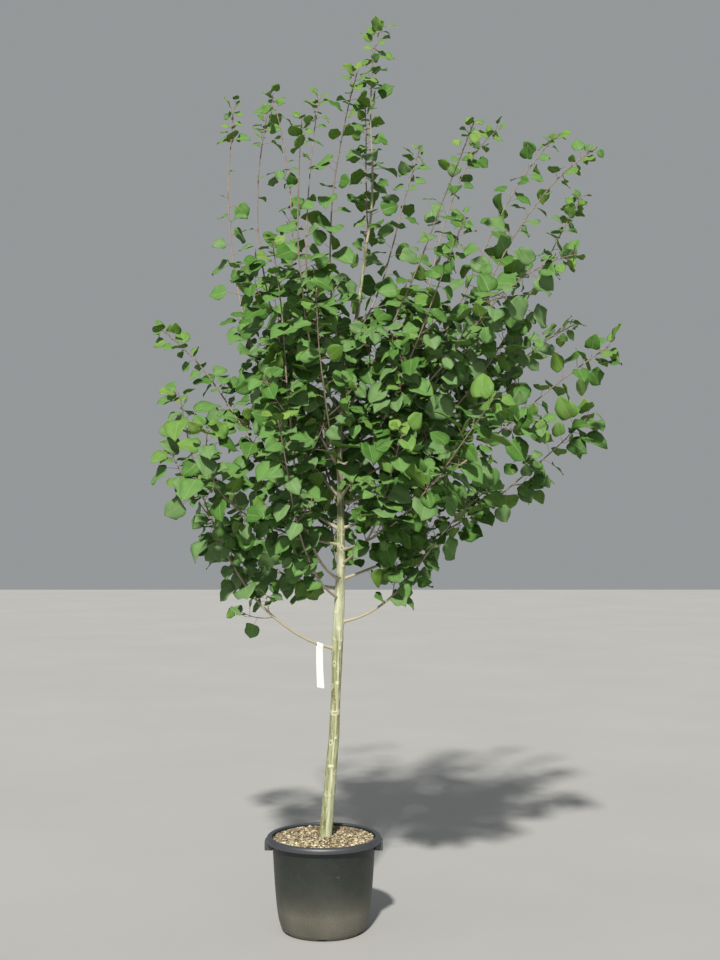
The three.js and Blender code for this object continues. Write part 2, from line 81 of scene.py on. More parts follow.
# How far the wall is out of round halfway up, as shares of its radius.
OVAL = 0.0022
THREE_SIDED = 0.0012
SQUEEZE_HEIGHT = 0.19
SQUEEZE_REACH = 0.15
SHARP_ANGLE = 38
DRAIN_COUNT = 6
DRAIN_SIZE = (0.040, 0.034, 0.020)
DRAIN_RADIUS = 0.164
LUG_TOP = 0.343
LUG_SIZE = (0.031, 0.054, 0.038)
LUG_RADIUS = 0.2125
LUG_SKIN = 0.0028
LUG_ROUND = 0.0035
LUG_HOLLOW_ROUND = 0.002
# The dust's strength is exp(DUST_AT_FOOT - DUST_FALL * height), and DUST_MOST at most.
DUST_AT_FOOT = 0.9
DUST_FALL = 17.0
DUST_MOST = 0.56
DUST_DULLING = 0.35
DUST_BROWN = (0.246, 0.226, 0.174, 1)
SCUFF_GREY = (0.17, 0.175, 0.18, 1)
SQUARE = ((-1, -1), (1, -1), (1, 1), (-1, 1))
BOX_CORNERS = np.array([(x, y, z) for z in (-1, 1) for x, y in SQUARE])
BOX_SIDES = ((0, 3, 2, 1), (4, 5, 6, 7), (0, 1, 5, 4), (1, 2, 6, 5), (2, 3, 7, 6), (3, 0, 4, 7))


def mesh_piece(name, points, faces, materials, paint=None, flat=None):
    """One mesh on the plant's body, from an array of points and arrays of faces."""
    mesh = bpy.data.meshes.new(name)
    corners = np.concatenate([np.asarray(part).ravel() for part in faces]).astype(np.int32)
    counts = np.concatenate([np.full(len(part), len(part[0])) for part in faces])
    mesh.vertices.add(len(points))
    mesh.vertices.foreach_set("co", np.asarray(points, np.float32).ravel())
    mesh.loops.add(len(corners))
    mesh.loops.foreach_set("vertex_index", corners)
    mesh.polygons.add(len(counts))
    starts = np.concatenate(([0], np.cumsum(counts)[:-1])).astype(np.int32)
    mesh.polygons.foreach_set("loop_start", starts)
    for material in materials:
        mesh.materials.append(material)
    if paint is not None:
        mesh.polygons.foreach_set("material_index", np.asarray(paint, np.int32))
    smooth = np.ones(len(counts), bool) if flat is None else ~np.asarray(flat, bool)
    mesh.polygons.foreach_set("use_smooth", smooth)
    mesh.update(calc_edges=True)
    piece = bpy.data.objects.new(name, mesh)
    bpy.context.scene.collection.objects.link(piece)
    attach(piece, "root")
    return piece


def ring_walls(rings, sides, first=0):
    """Four-sided faces between rings of points that follow each other in a list."""
    here = np.arange(sides)
    after = (here + 1) % sides
    base = first + (np.arange(rings - 1) * sides)[:, None]
    walls = np.stack([base + here, base + after, base + sides + after, base + sides + here], axis=-1)
    return walls.reshape(-1, 4)


def turned(profile, steps):
    """Points and faces of a profile of (radius, height) pairs turned about the Z axis.
    The profile starts and ends on the axis."""
    turns = np.arange(steps) * 2 * math.pi / steps
    rings = np.array(profile[1:-1])
    points = np.empty((len(rings), steps, 3))
    points[:, :, 0] = rings[:, :1] * np.cos(turns)
    points[:, :, 1] = rings[:, :1] * np.sin(turns)
    points[:, :, 2] = rings[:, 1:]
    ends = [(0, 0, profile[0][1]), (0, 0, profile[-1][1])]
    first_end = len(rings) * steps
    here = np.arange(steps)
    after = (here + 1) % steps
    foot = np.stack([np.full(steps, first_end), after, here], axis=-1)
    top = first_end - steps
    cap = np.stack([np.full(steps, first_end + 1), top + here, top + after], axis=-1)
    return np.concatenate([points.reshape(-1, 3), ends]), [ring_walls(len(rings), steps), foot, cap]


def arc(radius, height, size, start, end, count):
    """Points of a round corner in a profile, from one angle to another, in degrees."""
    turns = np.radians(np.linspace(start, end, count))
    return [(radius + size * math.cos(t), height + size * math.sin(t)) for t in turns]


def block(size, centre, turn, rounding=0.0):
    """A box with rounded edges, centred at a point and then turned about the Z axis."""
    points = BOX_CORNERS * (np.array(size) / 2) + np.array(centre)
    cosine, sine = math.cos(turn), math.sin(turn)
    points = points @ np.array([(cosine, sine, 0), (-sine, cosine, 0), (0, 0, 1)])
    mesh = bpy.data.meshes.new("block")
    mesh.from_pydata(points.tolist(), [], BOX_SIDES)
    made = bpy.data.objects.new("block", mesh)
    bpy.context.scene.collection.objects.link(made)
    if rounding:
        bevel = made.modifiers.new("rounding", "BEVEL")
        bevel.width = rounding
        bevel.segments = 3
    return made


def cut_away(piece, other):
    """Cuts another solid out of a piece, and leaves only the piece, its modifiers applied."""
    cut = piece.modifiers.new("cut", "BOOLEAN")
    cut.object = other
    cut.operation = "DIFFERENCE"
    cut.solver = "EXACT"
    bpy.context.view_layer.update()
    shaped = bpy.data.meshes.new_from_object(
        piece.evaluated_get(bpy.context.evaluated_depsgraph_get()))
    piece.modifiers.clear()
    piece.data = shaped
    bpy.data.objects.remove(other)


def add_node(tree, kind, feeds=(), **settings):
    """One shader node. feeds pairs an input's name or number with a value or a socket."""
    made = tree.nodes.new("ShaderNode" + kind)
    for name, value in settings.items():
        setattr(made, name, value)
    for name, value in feeds:
        if isinstance(value, bpy.types.NodeSocket):
            tree.links.new(value, made.inputs[name])
        else:
            made.inputs[name].default_value = value
    return made


def arithmetic(tree, operation, *values):
    """The result of a Math node on numbers or sockets."""
    return add_node(tree, "Math", enumerate(values), operation=operation).outputs[0]


def mapped(tree, value, start, stop, low=0.0, high=1.0):
    """A value from start to stop brought to a value from low to high."""
    return add_node(tree, "MapRange", [
        ("Value", value), ("From Min", start), ("From Max", stop),
        ("To Min", low), ("To Max", high)]).outputs[0]


def mixed(tree, share, under, over):
    """One colour laid over another by a share."""
    return add_node(tree, "Mix", [(0, share), (6, under), (7, over)], data_type="RGBA").outputs[2]


def noise_pattern(tree, place, scale, detail=2.0, roughness=0.5, distortion=0.0):
    """A noise texture's values at a place."""
    return add_node(tree, "TexNoise", [
        ("Vector", place), ("Scale", scale), ("Detail", detail), ("Roughness", roughness),
        ("Distortion", distortion)]).outputs["Fac"]


def shader_group(name, colours, values, results):
    """A shader node group with its named inputs and outputs, and the sockets inside it
    that give and take them. results pairs an output's name with Color or Float."""
    group = bpy.data.node_groups.new(name, "ShaderNodeTree")
    sockets = [(colour, "INPUT", "Color") for colour in colours]
    sockets += [(value, "INPUT", "Float") for value in values]
    sockets += [(result, "OUTPUT", kind) for result, kind in results]
    for socket, direction, kind in sockets:
        group.interface.new_socket(socket, in_out=direction, socket_type="NodeSocket" + kind)
    given = group.nodes.new("NodeGroupInput").outputs
    taken = group.nodes.new("NodeGroupOutput").inputs
    return group, given, taken


def surface_group():
    """The shared surface effect: two colours in soft patches, with a grain for the bump.
    Stretch above 1 packs the pattern along Z, and below 1 it draws it out into streaks."""
    group, given, taken = shader_group(
        "grown_surface", ("Light Colour", "Dark Colour"),
        ("Patch Scale", "Patch Blur", "Grain Scale", "Stretch", "Smooth", "Rough"),
        (("Colour", "Color"), ("Roughness", "Float"), ("Height", "Float")))
    place = add_node(group, "TexCoord").outputs["Object"]
    stretch = add_node(group, "CombineXYZ", [("X", 1.0), ("Y", 1.0), ("Z", given["Stretch"])])
    drawn = add_node(group, "VectorMath", [(0, place), (1, stretch.outputs[0])],
                     operation="MULTIPLY").outputs[0]
    patches = noise_pattern(group, drawn, given["Patch Scale"], detail=4.0, roughness=0.6)
    grain = noise_pattern(group, drawn, given["Grain Scale"], detail=5.0, roughness=0.65)
    start = arithmetic(group, "SUBTRACT", 0.5, given["Patch Blur"])
    stop = arithmetic(group, "ADD", 0.5, given["Patch Blur"])
    share = mapped(group, patches, start, stop)
    colour = mixed(group, share, given["Dark Colour"], given["Light Colour"])
    roughness = mapped(group, grain, 0.3, 0.7, given["Smooth"], given["Rough"])
    group.links.new(colour, taken["Colour"])
    group.links.new(roughness, taken["Roughness"])
    group.links.new(grain, taken["Height"])
    return group


GROWN_SURFACE = surface_group()


def surface_material(name, light, dark, patch, grain, smooth, rough, depth,
                     stretch=1.0, blur=0.14, specular=0.5):
    """A Principled material on the shared surface effect: two colours, the scales of their
    patches and of the grain, the range of its roughness and the depth of its relief."""
    material = bpy.data.materials.new(name)
    material.use_nodes = True
    tree = material.node_tree
    shader = tree.nodes["Principled BSDF"]
    effect = add_node(tree, "Group", [
        ("Light Colour", (*light, 1)), ("Dark Colour", (*dark, 1)), ("Patch Scale", patch),
        ("Patch Blur", blur), ("Grain Scale", grain), ("Stretch", stretch),
        ("Smooth", smooth), ("Rough", rough)], name="surface", node_tree=GROWN_SURFACE)
    relief = add_node(tree, "Bump", [
        ("Height", effect.outputs["Height"]), ("Strength", 0.6), ("Distance", depth)])
    shader.inputs["Specular IOR Level"].default_value = specular
    tree.links.new(effect.outputs["Colour"], shader.inputs["Base Color"])
    tree.links.new(effect.outputs["Roughness"], shader.inputs["Roughness"])
    tree.links.new(relief.outputs[0], shader.inputs["Normal"])
    material.diffuse_color = (*light, 1)
    return material


def nodes_of(material):
    """A surface material's node tree, its shader and its surface effect, for more marks."""
    tree = material.node_tree
    return tree, tree.nodes["Principled BSDF"], tree.nodes["surface"]


def wall_plastic():
    """Satin black plastic, with dried soil splashed up from the foot and pale scuffs."""
    material = surface_material(
        "pot_wall_plastic", light=(0.011, 0.017, 0.013), dark=(0.007, 0.011, 0.009),
        patch=22, grain=520, smooth=0.42, rough=0.58, depth=0.0004, specular=0.6)
    tree, shader, effect = nodes_of(material)
    place = add_node(tree, "TexCoord").outputs["Object"]
    height = add_node(tree, "SeparateXYZ", [(0, place)]).outputs["Z"]
    fall = arithmetic(tree, "MULTIPLY_ADD", height, -DUST_FALL, DUST_AT_FOOT)
    low = arithmetic(tree, "MINIMUM", arithmetic(tree, "EXPONENT", fall), DUST_MOST)
    splash = noise_pattern(tree, place, 300.0, detail=6.0, roughness=0.75)
    speckle = mapped(tree, splash, 0.25, 0.60, low=0.35)
    patchy = mapped(tree, noise_pattern(tree, place, 7.0), 0.35, 0.65, low=0.70, high=1.05)
    dust = arithmetic(tree, "MULTIPLY", arithmetic(tree, "MULTIPLY", low, speckle), patchy)
    dusty = mixed(tree, dust, effect.outputs["Colour"], DUST_BROWN)
    scuff = noise_pattern(tree, place, 110.0, distortion=1.6)
    scuffed = mixed(tree, mapped(tree, scuff, 0.71, 0.76, high=0.6), dusty, SCUFF_GREY)
    dull = arithmetic(tree, "MULTIPLY_ADD", dust, DUST_DULLING, effect.outputs["Roughness"])
    tree.links.new(scuffed, shader.inputs["Base Color"])
    tree.links.new(dull, shader.inputs["Roughness"])
    return material


# The wall's profile in radius and height: up the outside, over the rim and down inside.
rim_foot = RIM_HEIGHT - RIM_DEPTH
inner_neck = NECK_RADIUS - POT_WALL
pot_outside = [
    (0, 0), (POT_FOOT_RADIUS, 0), *arc(POT_FOOT_RADIUS, POT_FOOT_ROUND, POT_FOOT_ROUND, -90, -30, 4),
    (0.1612, 0.009), (0.1665, 0.020), (0.1712, 0.036), (0.1752, 0.054), (0.1786, 0.074),
    (0.1815, 0.096), (0.1840, 0.120), (0.1864, 0.147), (0.1887, 0.176), (0.1911, 0.210),
    (0.1934, 0.245), (0.1956, 0.280), (0.1978, 0.308), (NECK_RADIUS, NECK_HEIGHT),
]
pot_rim = [
    (NECK_RADIUS + 0.001, rim_foot + 0.004), (0.2055, rim_foot + 0.0045), (0.2155, rim_foot + 0.001),
    *arc(RIM_RADIUS - RIM_HEM_ROUND, rim_foot + RIM_HEM_ROUND, RIM_HEM_ROUND, -90, 0, 5),
    *arc(RIM_RADIUS - RIM_ROLL_ROUND, RIM_HEIGHT - RIM_ROLL_ROUND, RIM_ROLL_ROUND, 0, 100, 9),
    *arc(NECK_RADIUS + 0.0040, RIM_HEIGHT - 0.0050, RIM_LIP_ROUND, 85, 180, 6),
]
pot_inside = [
    (inner_neck + 0.0012, RIM_HEIGHT - 0.014), (inner_neck, rim_foot), (0.1868, 0.176),
    (0.1788, 0.096), (0.1510 - POT_WALL, POT_FLOOR), (0, POT_FLOOR),
]
pot_points, pot_faces = turned(pot_outside + pot_rim + pot_inside, POT_STEPS)
pot_turn = np.arctan2(pot_points[:, 1], pot_points[:, 0])
squeeze = OVAL * np.cos(2 * pot_turn - 0.7) + THREE_SIDED * np.cos(3 * pot_turn + 1.1)
halfway = np.clip(1 - np.abs(pot_points[:, 2] - SQUEEZE_HEIGHT) / SQUEEZE_REACH, 0, 1)
pot_points[:, :2] *= (1 + squeeze * halfway)[:, None]
# The rim's plastic is lighter and bluer than the wall's: a painted reflection.
RIM_PLASTIC_PAINTED_REFLECTION = surface_material(
    "pot_rim_plastic_painted_reflection", light=(0.036, 0.041, 0.050), dark=(0.027, 0.031, 0.039),
    patch=22, grain=520, smooth=0.44, rough=0.54, depth=0.0003, specular=1.0)
pot_body = mesh_piece("pot_body", pot_points, pot_faces, [wall_plastic(), RIM_PLASTIC_PAINTED_REFLECTION])
for number in range(DRAIN_COUNT):
    drain_turn = (number + 0.5) * 2 * math.pi / DRAIN_COUNT
    cut_away(pot_body, block(DRAIN_SIZE, (DRAIN_RADIUS, 0, 0), drain_turn))
lug_middle = LUG_TOP - LUG_SIZE[2] / 2
lug_hollow = (LUG_SIZE[0] - 2 * LUG_SKIN, LUG_SIZE[1] - 4 * LUG_SKIN, LUG_SIZE[2])
for side, lug_turn in (("right", 0), ("left", math.pi)):
    grip = block(LUG_SIZE, (LUG_RADIUS, 0, lug_middle), lug_turn, LUG_ROUND)
    lug_floor = lug_middle - 2 * LUG_SKIN
    cut_away(grip, block(lug_hollow, (LUG_RADIUS, 0, lug_floor), lug_turn, LUG_HOLLOW_ROUND))
    grip.name = grip.data.name = "pot_lug_" + side
    # The lugs take the rim's lighter, bluer plastic: a painted reflection.
    grip.data.materials.append(RIM_PLASTIC_PAINTED_REFLECTION)
    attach(grip, "root")
    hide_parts("pot")
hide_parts("pot")
pot_body.data.polygons.foreach_set("use_smooth", np.ones(len(pot_body.data.polygons), bool))
pot_body.data.set_sharp_from_angle(angle=math.radians(SHARP_ANGLE))
# The faces of the rim take the lighter, bluer plastic with its painted reflection.
for wall in pot_body.data.polygons:
    wall.material_index = int(wall.center.z > rim_foot and wall.center.xy.length > NECK_RADIUS)


# The soil: moist bark mix filled to just under the rim, heaped a little round the stem.
# Its top is a bed of loose bark chips and wood splinters, pale cream to dark brown,
# which lie on the mix at all angles and are darker towards the back, where it is damp.
SOIL_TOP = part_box("soil")[1].z
SOIL_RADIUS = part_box("soil")[1].x
SOIL_RINGS = 44
SOIL_STEPS = 96
SOIL_EDGE = 0.165
SOIL_EDGE_WIDTH = 0.03
SOIL_EDGE_DROP = 0.002
SOIL_LUMPS = 0.0016
HEAP_HEIGHT = 0.0045
HEAP_RADIUS = 0.045
TRUNK_FOOT = (0.005, 0.0)
STEM_ROOM = 0.026
CHIP_COUNT = 8500
CHIP_LENGTH = (0.003, 0.017)
CHIP_WIDTH = (0.30, 0.75)
CHIP_THICKNESS = (0.2, 0.4)
CHIP_ROUGHNESS = (0.55, 1.1)
CHIP_TURNS = (math.pi, 0.5, 0.6)
CHIP_PILE = 0.0035
CHIP_MARGIN = 0.006
DAMP_RADIUS = 0.11
DAMP_SHARE = 0.45
DAMP_SHADE = 2
# Each shade of chip: name, light colour, dark colour, and its share of the chips.
CHIP_SHADES = (
    ("chip_cream", (0.72, 0.68, 0.44), (0.56, 0.52, 0.33), 0.21),
    ("chip_straw", (0.44, 0.39, 0.22), (0.34, 0.29, 0.17), 0.19),
    ("chip_tan", (0.30, 0.235, 0.150), (0.20, 0.15, 0.10), 0.24),
    ("chip_red", (0.19, 0.120, 0.085), (0.12, 0.070, 0.052), 0.18),
    ("chip_dark", (0.085, 0.056, 0.036), (0.042, 0.028, 0.018), 0.18),
)


def noise_at(points, scale, seed):
    """Smooth noise from about -1 to 1 at each point, with its own shift for each seed."""
    shift = Vector((13.7 * seed, -7.1 * seed, 3.3 * seed))
    return np.array([noise.noise(Vector(p) * scale + shift) for p in points])


def from_stem(x, y):
    """How far a place on the soil is from the middle of the stem."""
    return np.hypot(x - TRUNK_FOOT[0], y - TRUNK_FOOT[1])


def soil_height(x, y):
    """The top of the mix: level, with a low heap round the foot of the stem."""
    edge = np.clip((np.hypot(x, y) - SOIL_EDGE) / SOIL_EDGE_WIDTH, 0, 1)
    heap = HEAP_HEIGHT * np.exp(-(from_stem(x, y) / HEAP_RADIUS) ** 2)
    return SOIL_TOP + heap - SOIL_EDGE_DROP * edge


def chip_points(count, random):
    """Corner points of all the chips: rough boxes, long and thin, tipped off the level."""
    reach = (SOIL_RADIUS - CHIP_MARGIN) * np.sqrt(random.uniform(0.0, 1.0, count))
    place = random.uniform(0, 2 * math.pi, count)
    x, y = reach * np.cos(place), reach * np.sin(place)
    long = CHIP_LENGTH[0] + (CHIP_LENGTH[1] - CHIP_LENGTH[0]) * random.uniform(0, 1, count) ** 2.2
    wide = long * random.uniform(*CHIP_WIDTH, count)
    thick = long * random.uniform(*CHIP_THICKNESS, count)
    size = np.stack([long, wide, thick], axis=1)
    corners = BOX_CORNERS[None] * size[:, None] / 2 * random.uniform(*CHIP_ROUGHNESS, (count, 8, 3))
    yaw, pitch, roll = (random.uniform(-1, 1, count) * spread for spread in CHIP_TURNS)
    for angle, (a, b) in ((roll, (1, 2)), (pitch, (0, 2)), (yaw, (0, 1))):
        cosine, sine = np.cos(angle)[:, None], np.sin(angle)[:, None]
        first, second = corners[:, :, a].copy(), corners[:, :, b].copy()
        corners[:, :, a] = first * cosine - second * sine
        corners[:, :, b] = first * sine + second * cosine
    base = np.stack([x, y, soil_height(x, y) + random.uniform(0, CHIP_PILE, count)], axis=1)
    return (corners + base[:, None])[from_stem(x, y) > STEM_ROOM]


soil_rings = [(SOIL_RADIUS * (1 - i / SOIL_RINGS), SOIL_TOP) for i in range(SOIL_RINGS)]
soil_wall = [(0, 0.0046), (0.1468, 0.0046), (0.1780, 0.096), (0.1860, 0.176)]
soil_points, soil_faces = turned(soil_wall + soil_rings + [(0, SOIL_TOP)], SOIL_STEPS)
top_rows = soil_points[:, 2] > SOIL_TOP - 0.001
bed = soil_points[top_rows]
soil_points[top_rows, 2] = soil_height(bed[:, 0], bed[:, 1]) + SOIL_LUMPS * noise_at(bed, 90, 1)
MIX = surface_material(
    "soil_mix", light=(0.11, 0.075, 0.052), dark=(0.045, 0.03, 0.022),
    patch=90, grain=300, smooth=0.8, rough=1.0, depth=0.002)
soil_bed = mesh_piece("soil_bed", soil_points, soil_faces, [MIX])
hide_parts("soil")

chip_random = np.random.default_rng(11)
chips = chip_points(CHIP_COUNT, chip_random)
chip_faces = (np.arange(len(chips)) * 8)[:, None, None] + np.array(BOX_SIDES)
chip_kind = chip_random.choice(len(CHIP_SHADES), len(chips), p=[shade[3] for shade in CHIP_SHADES])
chip_middle = chips.mean(axis=1)
damp = (np.hypot(chip_middle[:, 0], chip_middle[:, 1]) > DAMP_RADIUS) & (chip_middle[:, 1] > 0)
damp &= chip_random.random(len(chips)) < DAMP_SHARE
chip_kind = np.where(damp, np.maximum(chip_kind, DAMP_SHADE), chip_kind)
chip_materials = [
    surface_material(name, light, dark, patch=240, grain=900, smooth=0.7, rough=0.95, depth=0.0005)
    for name, light, dark, _ in CHIP_SHADES]
soil_chips = mesh_piece(
    "soil_chips", chips.reshape(-1, 3), [chip_faces.reshape(-1, 4)], chip_materials,
    paint=np.repeat(chip_kind, 6), flat=np.ones(6 * len(chips), bool))
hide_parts("soil")


# The trunk: one smooth-barked stem that leans to the right and tapers to the leader.
# Its bark is cream over olive, in long streaks, with rows of raised corky dots, the
# scars of last years' buds as pale rings, and pits where side buds were rubbed off.
TRUNK_RING_STEP = 0.0036
TRUNK_SIDES = 72
TRUNK_SMOOTHING = 8
TRUNK_FLARE = 0.0015
TRUNK_FLARE_HEIGHT = 0.012
# Each place up the trunk: height, lean to the right, and width.
TRUNK = (
    (0.3483, 0.005, 0.056), (0.362, 0.006, 0.051), (0.520, 0.021, 0.046), (0.740, 0.039, 0.040),
    (0.950, 0.048, 0.036), (1.090, 0.052, 0.043), (1.200, 0.057, 0.042), (1.415, 0.066, 0.034),
    (1.600, 0.064, 0.028), (1.830, 0.060, 0.020), (2.050, 0.069, 0.017), (2.250, 0.105, 0.015),
    (2.450, 0.138, 0.013), (2.670, 0.165, 0.011),
)
TRUNK_HEIGHTS, TRUNK_LEANS, TRUNK_WIDTHS = np.array(TRUNK).T
# The radius at which the bark's relief is at its full depth.
FULL_RADIUS = 0.020
# Each wave of the bark: depth, scale and seed.
BARK_WAVES = ((0.0007, 70, 2), (0.0004, 210, 3))
BARK_RIDGES = 0.0007
# Each pale band up the trunk: the side that it is on and half its width, in degrees.
PALE_BANDS = ((283, 15), (245, 6), (35, 16), (150, 20))
BAND_SWAY = 0.16
BAND_BLUR = 9
# Each pale part: height, half height, side, half width in degrees, and strength. The first,
# all round the trunk, is partly pale bark and partly painted sunlight.
PALE_AND_SUNLIT_PARTS = ((1.27, 0.19, 270, 400, 0.72), (0.47, 0.16, 303, 42, 0.62))
# Each scar ring: height and strength.
SCAR_RINGS = (
    (0.515, 0.5), (0.826, 0.9), (0.836, 0.9), (1.112, 0.9), (1.29, 0.4), (1.52, 0.5), (1.78, 0.4),
    (2.09, 0.4),
)
SCAR_RING_HALF = 0.0055
SCAR_RING_RISE = 0.0016
# Each scar: height, side, half width and half height.
SCARS = (
    (0.627, 262, 0.014, 0.006), (0.946, 285, 0.008, 0.008), (0.735, 292, 0.007, 0.006),
    (1.155, 282, 0.009, 0.010), (1.08, 300, 0.007, 0.006), (0.578, 185, 0.006, 0.009),
    (0.490, 182, 0.005, 0.008), (0.885, 184, 0.005, 0.007), (0.79, 186, 0.004, 0.007),
    (0.68, 88, 0.010, 0.006), (0.90, 60, 0.009, 0.007), (1.22, 230, 0.008, 0.006),
    (1.40, 300, 0.007, 0.006), (0.56, 350, 0.005, 0.007), (1.02, 5, 0.005, 0.007),
)
SCAR_RISE = 0.0014
# Each knot: height, side and half width.
KNOTS = ((0.831, 268, 0.011), (1.163, 262, 0.004), (0.72, 70, 0.007))
KNOT_SQUASH = 0.625
KNOT_RISE = 0.0008
# Each pit of a rubbed-off bud: height and side.
BUD_PITS = (
    (1.021, 236), (0.716, 237), (1.352, 268), (0.66, 95), (1.26, 110), (0.97, 150), (1.47, 285),
    (0.932, 205), (0.60, 330), (0.48, 120),
)
PIT_RADIUS = 0.0034
PIT_DEPTH = 0.0020
PIT_LIP = 0.0011
COLLAR_RISE = 0.0034
COLLAR_HALF_WIDTH = 0.011
COLLAR_ABOVE = 0.010
COLLAR_BELOW = 0.019
COLLAR_OUT = 0.018
DOT_COUNT = 520
DOT_HEIGHTS = (0.36, 2.6)
DOT_HALF_WIDTH = 0.0026
DOT_HALF_HEIGHT = 0.0016
DOT_RISE = 0.0006
# The tones of the bark: 0 where it is plain, about 1 where it is pale, 2 where it is brown
# and 3 where it is dark.
BAND_TONE = 0.8
RING_TONE = 1.2
SCAR_TONE = 0.95
COLLAR_TONE = 0.75
HALO_TONE = 0.75
KNOT_TONE = 2.1
PIT_TONE = 3.0
CURVE_PULL = 0.36
LIMB_TIP_WIDTH = 0.0040
LIMB_TAPER = 1.3
LIMB_POINTS = 201
ALONG_STEP = 0.004

# Each limb: name, foot height, heading in degrees (0 right, 90 back), reach and top height,
# slopes at its foot and tip, sideways bow low and high, width, and the share with no leaves.
LIMBS = (
    ("low_left", 1.076, -166, 0.620, 2.060, 12, 80, 0.040, -0.010, 0.012, 0.20),
    ("back_left", 1.310, 149, 0.860, 1.880, 8, 68, 0.110, -0.110, 0.011, 0.25),
    ("front_left", 1.480, -133, 0.680, 1.890, 10, 88, -0.110, -0.070, 0.010, 0.25),
    ("wide_left", 1.540, 176, 0.720, 2.340, 27, 37, -0.010, -0.030, 0.011, 0.20),
    ("inner_left", 1.345, -125, 0.430, 2.600, 14, 72, 0.060, 0.0, 0.011, 0.20),
    ("upright_left", 1.775, -137, 0.370, 3.100, 48, 95, 0.020, -0.120, 0.009, 0.14),
    ("tall_left", 1.665, 139, 0.610, 3.370, 42, 91, 0.050, 0.110, 0.010, 0.14),
    ("mid_left", 2.000, -107, 0.470, 3.020, 24, 92, -0.055, -0.025, 0.009, 0.14),
    ("front_upright", 2.110, -81, 0.355, 3.245, 70, 62, -0.110, -0.100, 0.009, 0.13),
    ("back_upright", 2.310, 58, 0.530, 3.180, 28, 58, 0.050, -0.010, 0.008, 0.16),
    ("high_front_right", 1.970, -43, 0.665, 3.010, 50, 58, 0.030, 0.020, 0.009, 0.16),
    ("tall_right", 1.850, 34, 0.810, 3.280, 20, 44, 0.045, 0.080, 0.010, 0.15),
    ("front_right", 1.665, -48, 0.675, 2.650, 40, 58, -0.030, 0.0, 0.010, 0.17),
    ("high_right", 1.900, 15, 0.940, 3.190, 23, 43, 0.030, -0.020, 0.010, 0.15),
    ("wide_high_right", 1.790, -9, 0.990, 3.000, 20, 33, 0.0, -0.070, 0.010, 0.15),
    ("wide_right", 1.715, 6, 0.980, 2.890, 19, 60, -0.060, -0.025, 0.010, 0.17),
    ("back_right", 1.640, 28, 1.150, 2.440, 14, 24, -0.040, 0.010, 0.010, 0.20),
    ("far_right", 1.545, -11, 1.040, 2.235, 15, 32, 0.0, -0.020, 0.010, 0.20),
    ("mid_right", 1.345, 14, 1.065, 2.020, 18, 42, -0.010, -0.040, 0.011, 0.22),
    ("low_front_right", 1.460, -48, 0.800, 1.990, 10, 49, 0.010, -0.040, 0.010, 0.22),
    ("low_right", 1.180, -15, 0.590, 1.690, 8, 32, 0.025, 0.010, 0.011, 0.25),
    ("low_front_left", 1.270, -112, 0.560, 1.930, 20, 70, -0.050, 0.020, 0.010, 0.22),
    ("low_front", 1.405, -66, 0.560, 1.900, 22, 55, 0.060, 0.0, 0.010, 0.22),
    ("mid_front", 1.700, -98, 0.540, 2.390, 30, 70, 0.020, -0.020, 0.009, 0.16),
    ("low_back", 1.400, 97, 0.640, 2.030, 20, 60, 0.020, 0.020, 0.010, 0.22),
    ("mid_back", 1.610, 108, 0.560, 2.480, 30, 72, -0.020, 0.020, 0.010, 0.18),
    ("high_back", 1.940, 76, 0.430, 2.850, 35, 75, 0.020, 0.0, 0.009, 0.15),
    ("leader", 2.670, 0, 0.055, 3.535, 78, 74, -0.012, -0.006, 0.011, 0.0),
)
# Each fork: the limb that it leaves and at what share of it, and then its heading, reach,
# top height, slopes, bows and width, as for a limb.
FORKS = (
    ("tall_left", 0.28, 98, 0.260, 3.440, 80, 68, -0.110, -0.110, 0.007),
    ("mid_left", 0.35, 74, 0.135, 3.210, 80, 74, 0.030, 0.030, 0.006),
    ("front_right", 0.34, -20, 0.720, 2.525, 30, 8, 0.050, -0.035, 0.008),
    ("leader", 0.06, 100, 0.080, 3.250, 55, 76, 0.0, 0.0, 0.006),
)
UP = np.array((0.0, 0.0, 1.0))


def unit(vectors):
    """The same directions with a length of one."""
    return vectors / np.linalg.norm(vectors, axis=-1, keepdims=True)


class Stem:
    """A stem along a smooth path: a limb, a fork, a shoot or a spur."""

    def __init__(self, points, aside, radius, **facts):
        self.points = points
        steps = np.linalg.norm(np.diff(points, axis=0), axis=1)
        self.distance = np.concatenate(([0], np.cumsum(steps)))
        self.length = self.distance[-1]
        self.aside = aside
        self.radius = radius
        self.facts = facts

    def at(self, share):
        """The point at a share of its length, or the points at an array of shares."""
        place = np.clip(share, 0, 1) * self.length
        return np.stack([np.interp(place, self.distance, self.points[:, k]) for k in range(3)], -1)

    def along(self, share):
        """The direction of growth there."""
        before = self.at(np.maximum(share - ALONG_STEP, 0))
        return unit(self.at(np.minimum(share + ALONG_STEP, 1)) - before)


def trunk_point(height):
    """The middle of the trunk at a height."""
    return np.array((np.interp(height, TRUNK_HEIGHTS, TRUNK_LEANS), 0.0, height))


def limb_stem(foot, heading, reach, top, leave, end, bow_low, bow_high, width, **facts):
    """A limb as one smooth curve from its foot to its tip."""
    turn = math.radians(heading)
    out = np.array((math.cos(turn), math.sin(turn), 0.0))
    aside = np.array((-out[1], out[0], 0.0))
    tip = foot + out * reach
    tip[2] = top
    pull = CURVE_PULL * np.linalg.norm(tip - foot)
    rise_low, rise_high = math.radians(leave), math.radians(end)
    low = foot + (out * math.cos(rise_low) + UP * math.sin(rise_low)) * pull + aside * bow_low
    high = tip - (out * math.cos(rise_high) + UP * math.sin(rise_high)) * pull + aside * bow_high
    t = np.linspace(0, 1, LIMB_POINTS)[:, None]
    points = (1 - t) ** 3 * foot + 3 * (1 - t) ** 2 * t * low + 3 * (1 - t) * t ** 2 * high + t ** 3 * tip
    tip_radius = LIMB_TIP_WIDTH / 2

    def radius(share):
        return tip_radius + (width / 2 - tip_radius) * (1 - share) ** LIMB_TAPER
    return Stem(points, aside, radius, **facts)


